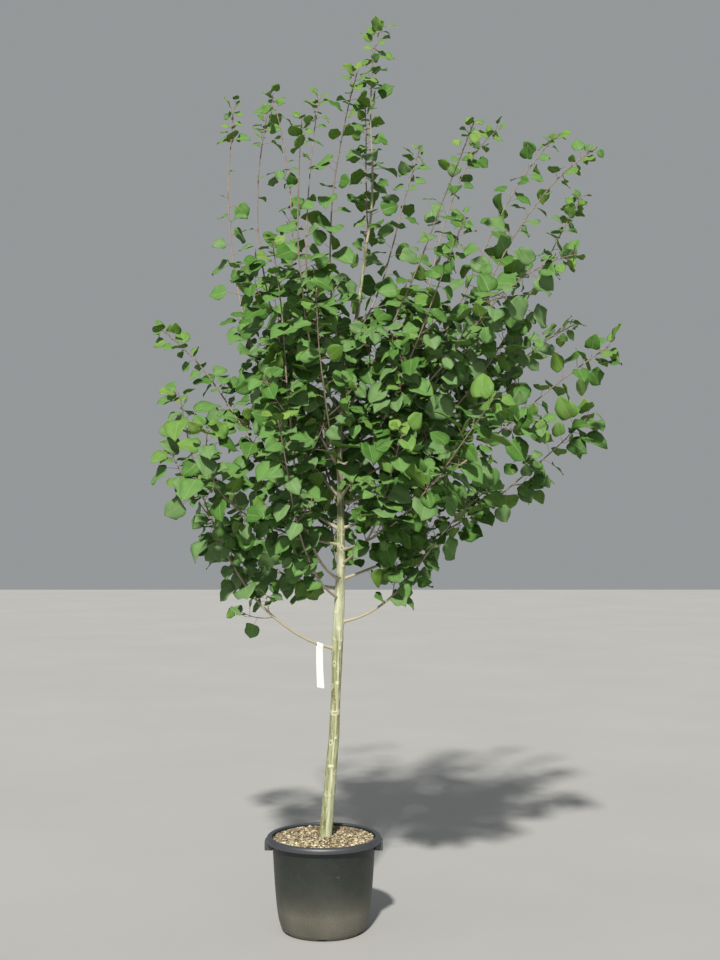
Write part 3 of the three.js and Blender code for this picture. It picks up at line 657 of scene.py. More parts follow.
limbs = []
for number, (name, height, *shape, bare) in enumerate(LIMBS):
    limbs.append(limb_stem(
        trunk_point(height), *shape, name=name, number=number, bare=bare,
        side=shape[0], height=height, slope=shape[3]))
limb_named = {limb.facts["name"]: limb for limb in limbs}
for number, (parent, share, *shape) in enumerate(FORKS):
    limbs.append(limb_stem(
        limb_named[parent].at(share), *shape, name=parent, number=len(LIMBS) + number, bare=0.0))


def bark_layer_group():
    """The shared bark effect: it lays a tint over the bark as its tone goes from a start
    to a stop."""
    group, given, taken = shader_group(
        "bark_layer", ("Bark", "Tint"), ("Tone", "Start", "Stop"), (("Colour", "Color"),))
    share = mapped(group, given["Tone"], given["Start"], given["Stop"])
    group.links.new(mixed(group, share, given["Bark"], given["Tint"]), taken["Colour"])
    return group


BARK_LAYER = bark_layer_group()


def lay_tones(material, layers):
    """Lays old and marked bark over a young bark, by the bark_tone of each point."""
    tree, shader, effect = nodes_of(material)
    tone = add_node(tree, "Attribute", attribute_name="bark_tone").outputs["Fac"]
    colour = effect.outputs["Colour"]
    for start, stop, tint in layers:
        colour = add_node(tree, "Group", [
            ("Bark", colour), ("Tint", (*tint, 1)), ("Tone", tone), ("Start", start),
            ("Stop", stop)], node_tree=BARK_LAYER).outputs["Colour"]
    tree.links.new(colour, shader.inputs["Base Color"])


def trunk_bark():
    """Cream and olive bark in long streaks, with pale scars, brown knots and dark pits."""
    material = surface_material(
        "trunk_bark", light=(0.378, 0.402, 0.226), dark=(0.150, 0.150, 0.057), patch=105,
        grain=300, smooth=0.6, rough=0.9, depth=0.0006, stretch=0.12, blur=0.12)
    lay_tones(material, (
        (0.15, 0.90, (0.58, 0.60, 0.43)), (1.2, 1.8, (0.40, 0.31, 0.20)),
        (2.2, 2.8, (0.130, 0.080, 0.050))))
    return material


ring_count = int((TRUNK_HEIGHTS[-1] - TRUNK_HEIGHTS[0]) / TRUNK_RING_STEP)
trunk_rows = np.linspace(TRUNK_HEIGHTS[0], TRUNK_HEIGHTS[-1], ring_count + 1)
trunk_turns = np.arange(TRUNK_SIDES) * 2 * math.pi / TRUNK_SIDES
bark_height, bark_turn = (
    grid.ravel() for grid in np.meshgrid(trunk_rows, trunk_turns, indexing="ij"))
widths = np.interp(trunk_rows, TRUNK_HEIGHTS, TRUNK_WIDTHS)
window = 2 * TRUNK_SMOOTHING + 1
widths = np.convolve(np.pad(widths, TRUNK_SMOOTHING, mode="edge"), np.ones(window) / window, mode="valid")
bark_radius = np.repeat(widths / 2, TRUNK_SIDES)
girth = bark_radius / FULL_RADIUS


def round_trunk(radius, rise):
    """Where each point of the bark lies for a noise, at a radius and a scale of height."""
    return np.stack([np.cos(bark_turn) * radius, np.sin(bark_turn) * radius, bark_height * rise], axis=1)


def angle_from(turns, side):
    """The angle of turns from a side that is given in degrees, within half a turn."""
    return np.angle(np.exp(1j * (turns - math.radians(side))))


def from_mark(height, side, rows=slice(None)):
    """How far points of the bark are from a mark: round the trunk, and upward."""
    return angle_from(bark_turn[rows], side) * bark_radius[rows], bark_height[rows] - height


def mound(across, upward, power=2):
    """A smooth mound, by how many half widths and half heights a point is from its middle."""
    return np.exp(-across ** power - upward ** power)


wrapped = round_trunk(bark_radius, 0.10)
bark_relief = sum(depth * noise_at(wrapped, scale, seed) for depth, scale, seed in BARK_WAVES) * girth
bark_relief += BARK_RIDGES * noise_at(round_trunk(1, 9), 0.9, 4) * girth
bark_tone = np.zeros(len(bark_height))
streaked = noise_at(round_trunk(2, 7), 1.6, 7)
for side, half_turn in PALE_BANDS:
    off = np.abs(np.degrees(angle_from(bark_turn - BAND_SWAY * np.sin(8 * bark_height), side)))
    band = np.clip((half_turn * (0.8 + 1.2 * streaked) - off) / BAND_BLUR, 0, 1)
    bark_tone = np.maximum(bark_tone, BAND_TONE * band)
bark_tone *= np.clip(0.75 + 0.9 * noise_at(wrapped, 150, 8), 0, 1)
mottled = 0.75 + 0.8 * noise_at(wrapped, 110, 9)
# The first pale part lightens the trunk all round about 1.27 m up: partly pale bark, partly painted
# sunlight.
for height, half_height, side, half_turn, strength in PALE_AND_SUNLIT_PARTS:
    off = np.degrees(angle_from(bark_turn, side))
    pale = strength * mound(off / half_turn, (bark_height - height) / half_height, 4)
    bark_tone = np.maximum(bark_tone, pale * mottled)
ragged = 0.6 + 0.5 * noise_at(wrapped, 160, 5)
for height, strength in SCAR_RINGS:
    waver = height + 0.003 * np.sin(bark_turn * 2 + height * 40)
    ring = strength * np.exp(-((bark_height - waver) / SCAR_RING_HALF) ** 2)
    bark_relief += SCAR_RING_RISE * ring * girth
    bark_tone = np.maximum(bark_tone, ring * ragged * RING_TONE)
for height, side, half_width, half_height in SCARS:
    across, upward = from_mark(height, side)
    scar = mound(across / half_width, upward / half_height, 4)
    bark_relief += SCAR_RISE * scar
    bark_tone = np.maximum(bark_tone, SCAR_TONE * scar)
for height, side, half_width in KNOTS:
    across, upward = from_mark(height, side)
    knot = mound(across / half_width, upward / (half_width * KNOT_SQUASH), 4)
    bark_relief += KNOT_RISE * knot
    bark_tone = np.where(knot > 0.25, np.maximum(bark_tone, KNOT_TONE * knot), bark_tone)
for limb in limbs[:len(LIMBS) - 1]:
    centre = limb.facts["height"] + COLLAR_OUT * math.tan(math.radians(limb.facts["slope"]))
    across, upward = from_mark(centre, limb.facts["side"])
    half_height = np.where(upward > 0, COLLAR_ABOVE, COLLAR_BELOW)
    collar = mound(across / COLLAR_HALF_WIDTH, upward / half_height)
    bark_relief += COLLAR_RISE * collar * np.minimum(girth, 1)
    bark_tone = np.maximum(bark_tone, COLLAR_TONE * collar)
dot_random = np.random.default_rng(5)
dot_heights = dot_random.uniform(*DOT_HEIGHTS, DOT_COUNT)
for height, side in zip(dot_heights, dot_random.uniform(0, 360, DOT_COUNT)):
    near = np.abs(bark_height - height) < 0.006
    across, upward = from_mark(height, side, near)
    dot = mound(across / DOT_HALF_WIDTH, upward / DOT_HALF_HEIGHT)
    bark_relief[near] += DOT_RISE * dot
    bark_tone[near] = np.maximum(bark_tone[near], dot)
for height, side in BUD_PITS:
    across, upward = from_mark(height, side)
    away = np.hypot(across, upward * 0.8) / PIT_RADIUS
    bark_relief += PIT_LIP * np.exp(-((away - 1.5) / 0.7) ** 2) - PIT_DEPTH * np.exp(-away ** 2)
    halo = HALO_TONE * np.exp(-((away - 2.2) / 0.8) ** 2)
    bark_tone = np.where(away < 1.1, PIT_TONE, np.maximum(bark_tone, halo))
flare = TRUNK_FLARE * np.exp(-(bark_height - TRUNK_HEIGHTS[0]) / TRUNK_FLARE_HEIGHT)
bark_reach = bark_radius + bark_relief + flare * (1 + 0.5 * np.sin(3 * bark_turn + 1))
lean = np.interp(bark_height, TRUNK_HEIGHTS, TRUNK_LEANS)
trunk_points = np.stack([
    lean + bark_reach * np.cos(bark_turn), bark_reach * np.sin(bark_turn), bark_height], axis=1)


def ring_faces(rings, sides, first=0):
    """Faces between rings of points, with a flat cap of triangles at each end."""
    fan = np.arange(1, sides - 1)
    top = first + (rings - 1) * sides
    foot_cap = np.stack([np.full(len(fan), first), first + fan + 1, first + fan], axis=-1)
    top_cap = np.stack([np.full(len(fan), top), top + fan, top + fan + 1], axis=-1)
    return ring_walls(rings, sides, first), np.concatenate([foot_cap, top_cap])


def set_tone(piece, values):
    """Keeps each point's bark tone on the mesh, for the bark materials to read."""
    tones = piece.data.attributes.new("bark_tone", "FLOAT", "POINT")
    tones.data.foreach_set("value", np.asarray(values, np.float32))


trunk_faces = ring_faces(len(trunk_rows), TRUNK_SIDES)
trunk = mesh_piece("trunk_bark", trunk_points, trunk_faces, [trunk_bark()])
set_tone(trunk, bark_tone)
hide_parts("trunk")


# The limbs: boughs and their forks, each one tapering stem that grows out of a collar on
# the trunk and turns upward. The bark is pale tan on old wood and reddish brown near the
# tips, with a swelling at each place where a leaf has stood.
LIMB_SIDES = 10
LIMB_STEP = 0.012
LIMB_BUMPS = 0.07
LIMB_WANDER = 0.005
NODE_SPACING = 0.055
NODE_SWELLING = 0.10
NODE_HALF_LENGTH = 0.006
# A flare at the foot: how much thicker, from where along the stem, and how far it reaches.
LIMB_FLARE = (0.55, 0.02, 0.016)
FORK_FLARE = (0.35, 0.0, 0.02)
# The radii between which the bark turns from young to old.
YOUNG_RADIUS = 0.0018
OLD_RADIUS = 0.0052


def limb_bark():
    """Smooth bark from reddish brown on young wood to pale tan on old."""
    material = surface_material(
        "limb_bark", light=(0.29, 0.220, 0.185), dark=(0.15, 0.105, 0.085), patch=60, grain=420,
        smooth=0.45, rough=0.75, depth=0.0004, stretch=0.5)
    lay_tones(material, (
        (0.10, 0.50, (0.32, 0.265, 0.190)), (0.50, 1.0, (0.41, 0.375, 0.260))))
    return material


def wander(stem, seed):
    """Gives a limb's path the small wanderings that growth leaves in it."""
    share = stem.distance / stem.length
    drift = np.stack([noise_at(stem.points, 5, seed + k) for k in (0, 40, 80)], axis=1)
    hold = np.sin(math.pi * np.clip(share, 0, 1)) ** 0.7
    stem.points = stem.points + LIMB_WANDER * drift * hold[:, None]


def all_round(across, over, sides):
    """Directions all round a stem, from two directions that are square to it."""
    turns = (np.arange(sides) * 2 * math.pi / sides)[:, None]
    return across[..., None, :] * np.cos(turns) + over[..., None, :] * np.sin(turns)


def limb_thickness(limb, place):
    """The radius of a limb at places along it, with its flare and its swellings."""
    is_fork = "height" not in limb.facts
    most, start, reach = FORK_FLARE if is_fork else LIMB_FLARE
    flare = most * np.exp(-np.maximum(place - start, 0) / reach)
    if limb is limb_named["leader"]:
        flare = 0
    from_node = (place + 0.02) % NODE_SPACING - NODE_SPACING / 2
    swelling = NODE_SWELLING * np.exp(-from_node ** 2 / NODE_HALF_LENGTH ** 2)
    return limb.radius(place / limb.length) * (1 + swelling + flare)


limb_points, limb_walls, limb_caps, limb_tones = [], [], [], []
laid = 0
for limb in limbs:
    wander(limb, 3 * limb.facts["number"])
    rings = int(limb.length / LIMB_STEP) + 1
    share = np.linspace(0, 1, rings)
    thick = limb_thickness(limb, share * limb.length)
    centre, along = limb.at(share), limb.along(share)
    across = unit(limb.aside - (along @ limb.aside)[:, None] * along)
    outward = all_round(across, np.cross(along, across), LIMB_SIDES) * thick[:, None, None]
    skin = (centre[:, None] + outward).reshape(-1, 3)
    bumps = 1 + LIMB_BUMPS * noise_at(skin, 90, 6).reshape(rings, LIMB_SIDES, 1)
    limb_points.append((centre[:, None] + outward * bumps).reshape(-1, 3))
    walls, caps = ring_faces(rings, LIMB_SIDES, laid)
    limb_walls.append(walls)
    limb_caps.append(caps)
    age = np.clip((thick - YOUNG_RADIUS) / (OLD_RADIUS - YOUNG_RADIUS), 0, 1)
    limb_tones.append(np.repeat(age, LIMB_SIDES))
    laid += rings * LIMB_SIDES
LIMB_BARK = limb_bark()
limb_faces = [np.concatenate(limb_walls), np.concatenate(limb_caps)]
limb_wood = mesh_piece("limbs", np.concatenate(limb_points), limb_faces, [LIMB_BARK])
set_tone(limb_wood, np.concatenate(limb_tones))
masses = sorted(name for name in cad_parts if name.startswith("foliage_"))
boughs = sorted(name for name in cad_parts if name.startswith("bough_"))
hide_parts(*boughs, *masses)


# The shoots: side shoots that leave the limbs by turns of the golden angle, as in the
# solids, and the short spurs between them. They are slim, smooth and reddish brown, and
# they get fewer towards the open top of the crown.
SHOOT_FIRST = 0.040
SHOOT_SPACING = 0.250
SHOOT_LENGTH = 0.250
SHOOT_LENGTH_AT_TIP = 0.070
SHOOT_ANGLE = 50
SHOOT_RISE = 0.9
SHOOT_WIDTH = 0.0038
SHOOT_OF_PARENT = 0.75
SHOOT_TAPER = 0.45
SHOOT_POINTS = 13
SHOOT_RINGS = 7
SHOOT_SIDES = 6
SPUR_SPACING = 0.085
SPUR_LENGTH = (0.018, 0.085)
SPUR_ANGLE = (45, 75)
SPUR_RISE = 0.5
SPUR_WIDTH = 0.0026
SPURS_ON_SHOOT = (0.25, 0.9)
RIPE_DISTANCE = 0.55
BARE_STOP = 0.46
SPURLESS_TIP = 0.36
OPEN_FROM = 2.20
OPEN_WITHIN = 0.35
OPEN_SHARE = 0.92
GOLDEN_ANGLE = math.radians(137.5)


def seeded_stream(seed):
    """The same plain stream of random shares that the solids grow by."""
    state = seed
    while True:
        state = (state * 1664525 + 1013904223) % 4294967296
        yield state / 4294967296


def direction_around(along, turn):
    """A direction square to a stem, at a turn about it."""
    level = np.array((1.0, 0.0, 0.0)) if abs(along[2]) > 0.95 else UP
    across = unit(np.cross(along, level))
    return across * math.cos(turn) + np.cross(across, along) * math.sin(turn)


def bowed(t, start, pull, end):
    """Points at shares t of a bow from a start to an end, drawn towards a third point."""
    return (1 - t) ** 2 * start + 2 * (1 - t) * t * pull + t ** 2 * end


def side_stem(parent, share, turn, size, angle, rise, width, **facts):
    """A shoot or spur: out from its parent at an angle, then bent upward."""
    foot, along = parent.at(share), parent.along(share)
    out = unit(along * math.cos(angle) + direction_around(along, turn) * math.sin(angle))
    middle = foot + out * size / 2
    tip = middle + unit(out + UP * rise) * size / 2
    points = bowed(np.linspace(0, 1, SHOOT_POINTS)[:, None], foot, middle, tip)
    foot_radius = min(width / 2, SHOOT_OF_PARENT * parent.radius(share))

    def radius(place):
        return foot_radius * (1 - SHOOT_TAPER * place)
    return Stem(points, direction_around(along, turn + math.pi / 2), radius, **facts)


def ripeness(limb, place):
    """How ripe the growth is at a place on a limb: 1 well below its tip and 0 at the tip."""
    return min(1.0, (limb.length - place) / RIPE_DISTANCE)


def shoots_of(limb):
    """The side shoots of a limb, by the same rule and stream as its solid."""
    stream = seeded_stream(4000 + 37 * limb.facts["number"])
    found = []
    turn = next(stream) * 2 * math.pi
    place = limb.facts["bare"] * limb.length + SHOOT_FIRST
    while place < limb.length - SHOOT_LENGTH_AT_TIP:
        share = place / limb.length
        size = SHOOT_LENGTH + (SHOOT_LENGTH_AT_TIP - SHOOT_LENGTH) * share
        size *= 0.7 + 0.6 * next(stream)
        angle = math.radians(SHOOT_ANGLE + 14 * (next(stream) - 0.5))
        found.append(side_stem(limb, share, turn, size, angle, SHOOT_RISE, SHOOT_WIDTH,
                               ripe=ripeness(limb, place), place=share))
        turn += GOLDEN_ANGLE
        place += SHOOT_SPACING * (0.75 + 0.5 * next(stream))
    return found


def is_kept(stem, random):
    """Whether a side stem stays: few do in the open top of the crown."""
    openness = np.clip((stem.points[0][2] - OPEN_FROM) / OPEN_WITHIN, 0, 1)
    return random.random() > OPEN_SHARE * openness


def spurs_of(parent, random, start, stop):
    """Short spurs along a stem, each with its own small rosette of leaves."""
    found = []
    turn = random.uniform(0, 2 * math.pi)
    place = start * parent.length + SPUR_SPACING * random.uniform(0.2, 1)
    while place < stop * parent.length:
        share = place / parent.length
        size = random.uniform(*SPUR_LENGTH) * (1 - 0.4 * share)
        ripe = parent.facts.get("ripe", ripeness(parent, place))
        angle = math.radians(random.uniform(*SPUR_ANGLE))
        spur = side_stem(parent, share, turn, size, angle, SPUR_RISE, SPUR_WIDTH, ripe=ripe)
        if is_kept(spur, random):
            found.append(spur)
        turn += GOLDEN_ANGLE
        place += SPUR_SPACING * random.uniform(0.7, 1.3)
    return found


def bare_below_tip(limb):
    """Whether a limb is one of the upright shoots on the left, thin-leaved below the tip."""
    tip = limb.points[-1]
    return tip[0] < 0.10 and tip[2] > 2.9 and limb.facts["name"] != "leader"


def bare_foot(limb):
    """The share of a limb from its foot that has no leaves. It is short at the back, where
    leaves stand close to the trunk, and full length only on the lowest limbs."""
    if limb.points[-1][1] > 0.25:
        return 0.4 * limb.facts["bare"]
    return limb.facts["bare"] * (0.6 if limb.points[0][2] > 1.25 else 1.0)


growth = np.random.default_rng(23)
shoots, spurs = [], []
for limb in limbs:
    bare_length = BARE_STOP if bare_below_tip(limb) else SPURLESS_TIP
    last = 1 - bare_length / limb.length
    own = [shoot for shoot in shoots_of(limb) if shoot.facts["place"] < last and is_kept(shoot, growth)]
    shoots += own
    spurs += spurs_of(limb, growth, bare_foot(limb), last)
    for shoot in own:
        spurs += spurs_of(shoot, growth, *SPURS_ON_SHOOT)


def bent_bars(feet, middles, tips, radii, rings, sides):
    """Points and faces of many slim bars at once, each bent along three points.
    radii holds each bar's radius at its foot and at its tip."""
    t = np.linspace(0, 1, rings)[None, :, None]
    centre = bowed(t, feet[:, None], middles[:, None], tips[:, None])
    along = unit((1 - t) * (middles - feet)[:, None] + t * (tips - middles)[:, None] + 1e-9)
    level = np.where(np.abs(along[:, :1, 2:]) > 0.9, np.array((1.0, 0, 0)), UP)
    across = unit(np.cross(along, level))
    outward = all_round(across, np.cross(along, across), sides)
    thick = radii[:, :1] + (radii[:, 1:] - radii[:, :1]) * t[:, :, 0]
    points = (centre[:, :, None] + outward * thick[:, :, None, None]).reshape(-1, 3)
    walls, caps = ring_faces(rings, sides)
    first = (np.arange(len(feet)) * rings * sides)[:, None, None]
    return points, (first + walls).reshape(-1, 4), (first + caps).reshape(-1, 3)


side_stems = shoots + spurs
shoot_feet, shoot_mids, shoot_tips = (
    np.array([stem.at(share) for stem in side_stems]) for share in (0.0, 0.5, 1.0))
shoot_bends = 2 * shoot_mids - (shoot_feet + shoot_tips) / 2
shoot_radii = np.array([(stem.radius(0.0) * 1.15, stem.radius(1.0)) for stem in side_stems])
points, walls, caps = bent_bars(
    shoot_feet, shoot_bends, shoot_tips, shoot_radii, SHOOT_RINGS, SHOOT_SIDES)
shoot_wood = mesh_piece("shoots", points, [walls, caps], [LIMB_BARK])
shoot_age = np.clip((shoot_radii[:, 0] - YOUNG_RADIUS) / 0.004, 0, 0.4)
set_tone(shoot_wood, np.repeat(shoot_age, SHOOT_RINGS * SHOOT_SIDES))
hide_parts(*masses)


# The leaves: broad, rounded blades with a short pointed tip, folded a little along a fine
# midrib and waved at the edge, on long slim stalks. They are mid green above, with a
# blue-grey tint that is a painted sheen, and a darker, deeper green below, which is painted
# shade and painted light shining through. They are largest halfway up the crown, and small
# and yellow-green at the shoots' tips.
BLADE_THICK = 0.006
BLADE_SHAPES = 40
RIB_TIP = 0.003
RIB_TAPER = 0.010
# Each row of a blade, from its foot: how far along its middle is and its edge, and half
# its width, for a blade of unit length. The columns go from one edge to the other.
BLADE_ROWS = (
    (0.000, -0.020, 0.230), (0.050, 0.015, 0.380), (0.140, 0.105, 0.470), (0.270, 0.245, 0.520),
    (0.430, 0.420, 0.515), (0.600, 0.600, 0.455), (0.760, 0.765, 0.325), (0.890, 0.895, 0.150),
    (1.000, 1.000, 0.008),
)
BLADE_COLUMNS = (-1.0, -0.52, -0.035, 0.035, 0.52, 1.0)
TOP, BACK, RIB, EDGE = range(4)
LEAF_LENGTH = 0.088
LEAF_LENGTH_AT_TIP = 0.041
LEAF_ANGLE = (45, 72)
YOUNG_ANGLE_LESS = 16
LEAF_SAG = (0.0, 0.55)
LEAF_DROOP = (-0.15, 0.95)
LEAF_SCATTER = 0.32
FACE_SCATTER = 0.34
YOUNG_BELOW = 0.40
CLOSE_SPACING = 0.014
WIDE_SPACING = 0.036
THIN_SPACING = 0.10
CLOSE_TIP = 0.20
CLOSE_LEADER = 0.36
SHOOT_LEAF_SPACING = 0.031
SPUR_LEAF_SPACING = 0.019
LEAF_START = 0.03
TIP_LEAVES = 3
SPRAY_SHARE = 0.55
FEW_BELOW = 1.25
FEW_LEFT_OUT = 0.6
LOW_CROWN = 2.3
# On limbs that end low in the crown: how much larger the tip leaves are, and how far down.
LOW_TIP_LEAVES = (0.45, 0.25)
STALK_SHARE = (0.42, 0.68)
STALK_WIDTH = 0.0016
STALK_RINGS = 4
STALK_SIDES = 4
PALE_STALKS = 0.55
LIGHT_SIDE = np.array((-0.18, -0.76, 0.58))
# How far to the right and how far down the light goes for each metre to the back.
STEM_LIGHT = (0.14, 0.90)
# Below these heights few leaves stand before the stem, and next to none.
STEM_SEEN = 1.84
STEM_LIT = 1.47
STEM_CLEAR = 0.052
LABEL_LIT = 1.12
LABEL_CLEAR = 0.110
# Each green: name, light colour and dark colour. Their blue-grey tint, strongest in the
# grey green, is a painted sheen.
LEAF_GREENS = (
    ("leaf_mid_green", (0.118, 0.244, 0.062), (0.097, 0.209, 0.052)),
    ("leaf_deep_green", (0.074, 0.180, 0.032), (0.060, 0.151, 0.026)),
    ("leaf_grey_green_painted_sheen", (0.140, 0.250, 0.090), (0.116, 0.215, 0.075)),
    ("leaf_fresh_green", (0.138, 0.262, 0.055), (0.114, 0.226, 0.046)),
    ("leaf_young_green", (0.178, 0.300, 0.062), (0.150, 0.258, 0.052)),
)
# How the greens are dealt out: up to a ripeness, which of them, and the share of each.
GREENS_BY_RIPENESS = (
    (0.22, (3, 4, 0), (0.50, 0.32, 0.18)),
    (0.50, (0, 1, 2, 3), (0.44, 0.12, 0.26, 0.18)),
    (math.inf, (0, 1, 2, 3), (0.40, 0.23, 0.34, 0.03)),
)
# The back's darker, deeper green is painted shade and painted light shining through the leaf.
LEAF_BACK_PAINTED_SHADE = (0.104, 0.222, 0.020)
LEAF_RIB = (0.250, 0.330, 0.110)
ABOVE_ALL = 9.0
# Each storey of leaves, which is a piece of its own: name, and from where to where it goes.
STOREYS = (
    ("low", 0.0, 1.66), ("middle", 1.66, 1.94), ("broad", 1.94, 2.18), ("upper", 2.18, 2.50),
    ("high", 2.50, ABOVE_ALL), ("young", 0.0, ABOVE_ALL),
)


def blade_shape(random):
    """The points of one blade of unit length in its own frame: x across, y along, z up."""
    fold = random.uniform(0.04, 0.38)
    curl = random.uniform(-0.06, 0.36)
    wave = random.uniform(0.025, 0.085)
    phase = random.uniform(0, 2 * math.pi)
    bend = random.uniform(-0.12, 0.12)
    lopsided = random.uniform(-0.07, 0.07)
    broad = random.uniform(0.86, 1.02)
    points = []
    for number, (middle, edge, half) in enumerate(BLADE_ROWS):
        notches = random.uniform(0.90, 1.06, 2)
        for column in BLADE_COLUMNS:
            side = math.copysign(1, column)
            if abs(column) < 0.1:
                x = side * (RIB_TAPER * (1 - middle) + RIB_TIP)
            else:
                x = column * half * broad * (1 + side * lopsided) * notches[int(column > 0)]
            y = middle + (edge - middle) * abs(column) ** 2
            z = fold * abs(x) - 0.35 * fold * x * x - curl * y * y
            z += wave * column ** 2 * math.sin(9 * y + phase + 1.4 * side)
            z += 0.006 * (1 if number % 2 else -1) * (0.25 < abs(column) < 0.9)
            points.append((x + bend * y * y, y, z))
    top = np.array(points)
    return np.concatenate([top, top - (0, 0, BLADE_THICK)])


def grid_faces(rows, columns):
    """Four-sided faces between rows of points that follow each other in a list."""
    corner = np.arange((rows - 1) * columns).reshape(rows - 1, columns)[:, :-1].reshape(-1, 1)
    return corner + np.array((0, 1, columns + 1, columns))


def blade_faces():
    """Faces of one blade, and for each whether it is of its top, back, rib or edge."""
    rows, columns = len(BLADE_ROWS), len(BLADE_COLUMNS)
    count = rows * columns
    top = grid_faces(rows, columns)
    back = count + top[:, [0, 3, 2, 1]]
    on_rib = np.arange(len(top)) % (columns - 1) == columns // 2 - 1
    faces = np.stack([top, back], axis=1).reshape(-1, 4)
    paint = np.stack([np.where(on_rib, RIB, TOP), np.where(on_rib, RIB, BACK)], axis=1).ravel()
    edge = [i * columns for i in range(rows)] + [(rows - 1) * columns + j for j in range(1, columns)]
    edge += [i * columns + columns - 1 for i in range(rows - 2, -1, -1)] + list(range(columns - 2, 0, -1))
    rim = [(here, after, count + after, count + here) for here, after in zip(edge, edge[1:] + edge[:1])]
    return np.concatenate([faces, rim]), np.concatenate([paint, np.full(len(rim), EDGE)])


def leaf_shade(ripe, random):
    """The leaf's green: the fresh ones stand near the shoot tips."""
    for limit, kinds, shares in GREENS_BY_RIPENESS:
        if ripe < limit:
            return random.choice(kinds, p=shares)


def leaf_size_at(ripe, height):
    """Leaves are small near a tip and full grown further down, most of all halfway up."""
    low = np.clip((1.9 - height) / 0.4, 0, 1)
    high = np.clip((height - 2.4) / 0.6, 0, 1)
    full = LEAF_LENGTH * (1.04 - 0.16 * low - 0.28 * high)
    return LEAF_LENGTH_AT_TIP + (full - LEAF_LENGTH_AT_TIP) * ripe ** 0.8


def left_out_at(place):
    """The chance that no leaf grows there, because it would hide or shade the stem: seen
    from the front the stem is clear under the crown and dappled up to its middle."""
    before = -place[1]
    if before <= 0:
        return 0.0
    heights = np.array((place[2], place[2] - STEM_LIGHT[1] * before))
    across = place[0] + np.array((0.0, STEM_LIGHT[0] * before))
    clear = np.where(heights < LABEL_LIT, LABEL_CLEAR, STEM_CLEAR)
    in_way = np.abs(across - np.interp(heights, TRUNK_HEIGHTS, TRUNK_LEANS)) < clear
    if np.any(in_way & (heights < STEM_LIT)):
        return 0.98
    return 0.88 if np.any(in_way & (heights < STEM_SEEN)) else 0.0


leaves = []


def grow_leaf(stem, share, turn, size, ripe, random, shade):
    """One leaf: a stalk from the stem, and a blade that goes on from its end."""
    along = stem.along(share)
    side = direction_around(along, turn)
    foot = stem.at(share) + side * stem.radius(share) * 0.7
    young = 1 - min(1.0, ripe / YOUNG_BELOW)
    angle = math.radians(random.uniform(*LEAF_ANGLE) - YOUNG_ANGLE_LESS * young)
    out = unit(along * math.cos(angle) + side * math.sin(angle))
    onward = unit(out + 0.25 * side - UP * random.uniform(*LEAF_SAG) * (1 - young))
    stalk = size * random.uniform(*STALK_SHARE)
    bend = foot + out * stalk * 0.55
    end = bend + onward * stalk * 0.45
    droop = random.uniform(*LEAF_DROOP) * (1 - 0.9 * young)
    blade = unit(onward * 0.9 + side * 0.45 - UP * droop + random.normal(0, LEAF_SCATTER, 3))
    face = UP * 0.22 + LIGHT_SIDE * random.uniform(0.5, 1.2) + side * 0.25
    face = face + random.normal(0, FACE_SCATTER, 3)
    face = unit(face - blade * (face @ blade))
    if end[2] < FEW_BELOW and random.random() < FEW_LEFT_OUT:
        return
    if random.random() < left_out_at(end + blade * size / 2):
        return
    leaves.append((foot, bend, end, blade, face, size, shade, young))


def leaves_along(stem, start, ripe_of, random):
    """Leaves in a spiral along a stem, most of them in the same green, and some at its tip.
    ripe_of gives the ripeness at a place, the leaves' spacing and how large they are."""
    turn = random.uniform(0, 2 * math.pi)
    place = start
    spray = leaf_shade(ripe_of(stem.length / 2)[0], random)
    while place < stem.length - 0.008:
        share = place / stem.length
        ripe, spacing, larger = ripe_of(place)
        size = leaf_size_at(ripe, stem.at(share)[2]) * larger * (0.68 + 0.60 * random.random() ** 1.5)
        in_spray = random.random() < SPRAY_SHARE and ripe > 0.25
        shade = spray if in_spray else leaf_shade(ripe, random)
        grow_leaf(stem, share, turn, size, ripe, random, shade)
        turn += GOLDEN_ANGLE + random.uniform(-0.25, 0.25)
        place += spacing * random.uniform(0.7, 1.3)
    ripe, spacing, larger = ripe_of(stem.length)
    for extra in range(TIP_LEAVES):
        size = leaf_size_at(ripe, stem.points[-1][2]) * larger * random.uniform(0.6, 0.9)
        shade = leaf_shade(ripe, random)
        grow_leaf(stem, 0.96 + 0.02 * extra, turn + extra * 2.6, size, ripe, random, shade)


def limb_leaves(limb):
    """How ripe, how far apart and how large the leaves are at a place on a limb. The
    upright shoots on the left have a length of few small leaves below their tips."""
    is_leader = limb.facts["name"] == "leader"
    close = CLOSE_LEADER if is_leader else CLOSE_TIP
    is_low = limb.points[-1][2] < LOW_CROWN
    ripening = RIPE_DISTANCE / 2 if is_low else RIPE_DISTANCE
    more, reach = LOW_TIP_LEAVES if is_low else (0.0, 1.0)

    def ripe_of(place):
        from_tip = limb.length - place
        ripe = min(1.0, from_tip / ripening)
        spacing = CLOSE_SPACING if from_tip < close else WIDE_SPACING
        larger = 1 + more * max(0.0, 1 - from_tip / reach)
        if bare_below_tip(limb) and CLOSE_TIP < from_tip < BARE_STOP:
            spacing, larger = THIN_SPACING, 0.6
        if is_leader and from_tip < close:
            ripe = 0.10 + 0.35 * from_tip / close
        return ripe, spacing, larger
    return ripe_of


def side_leaves(stem, spacing, ripest):
    """The same for a shoot or a spur, which is no riper than the limb that it stands on."""
    def ripe_of(place):
        return min(ripest, 0.40 + (stem.length - place) / 0.25), spacing, 1.0
    return ripe_of


for limb in limbs:
    leaves_along(limb, max(bare_foot(limb) * limb.length, LEAF_START), limb_leaves(limb), growth)
for stem in shoots:
    leaves_along(stem, LEAF_START, side_leaves(stem, SHOOT_LEAF_SPACING, stem.facts["ripe"]), growth)
for stem in spurs:
    on_spur = side_leaves(stem, SPUR_LEAF_SPACING, 0.92 * stem.facts["ripe"])
    leaves_along(stem, stem.length * 0.45, on_spur, growth)
leaf_foot, leaf_bend, leaf_end, leaf_blade, leaf_face, leaf_size, leaf_kind, leaf_young = (
    np.array(values) for values in zip(*leaves))

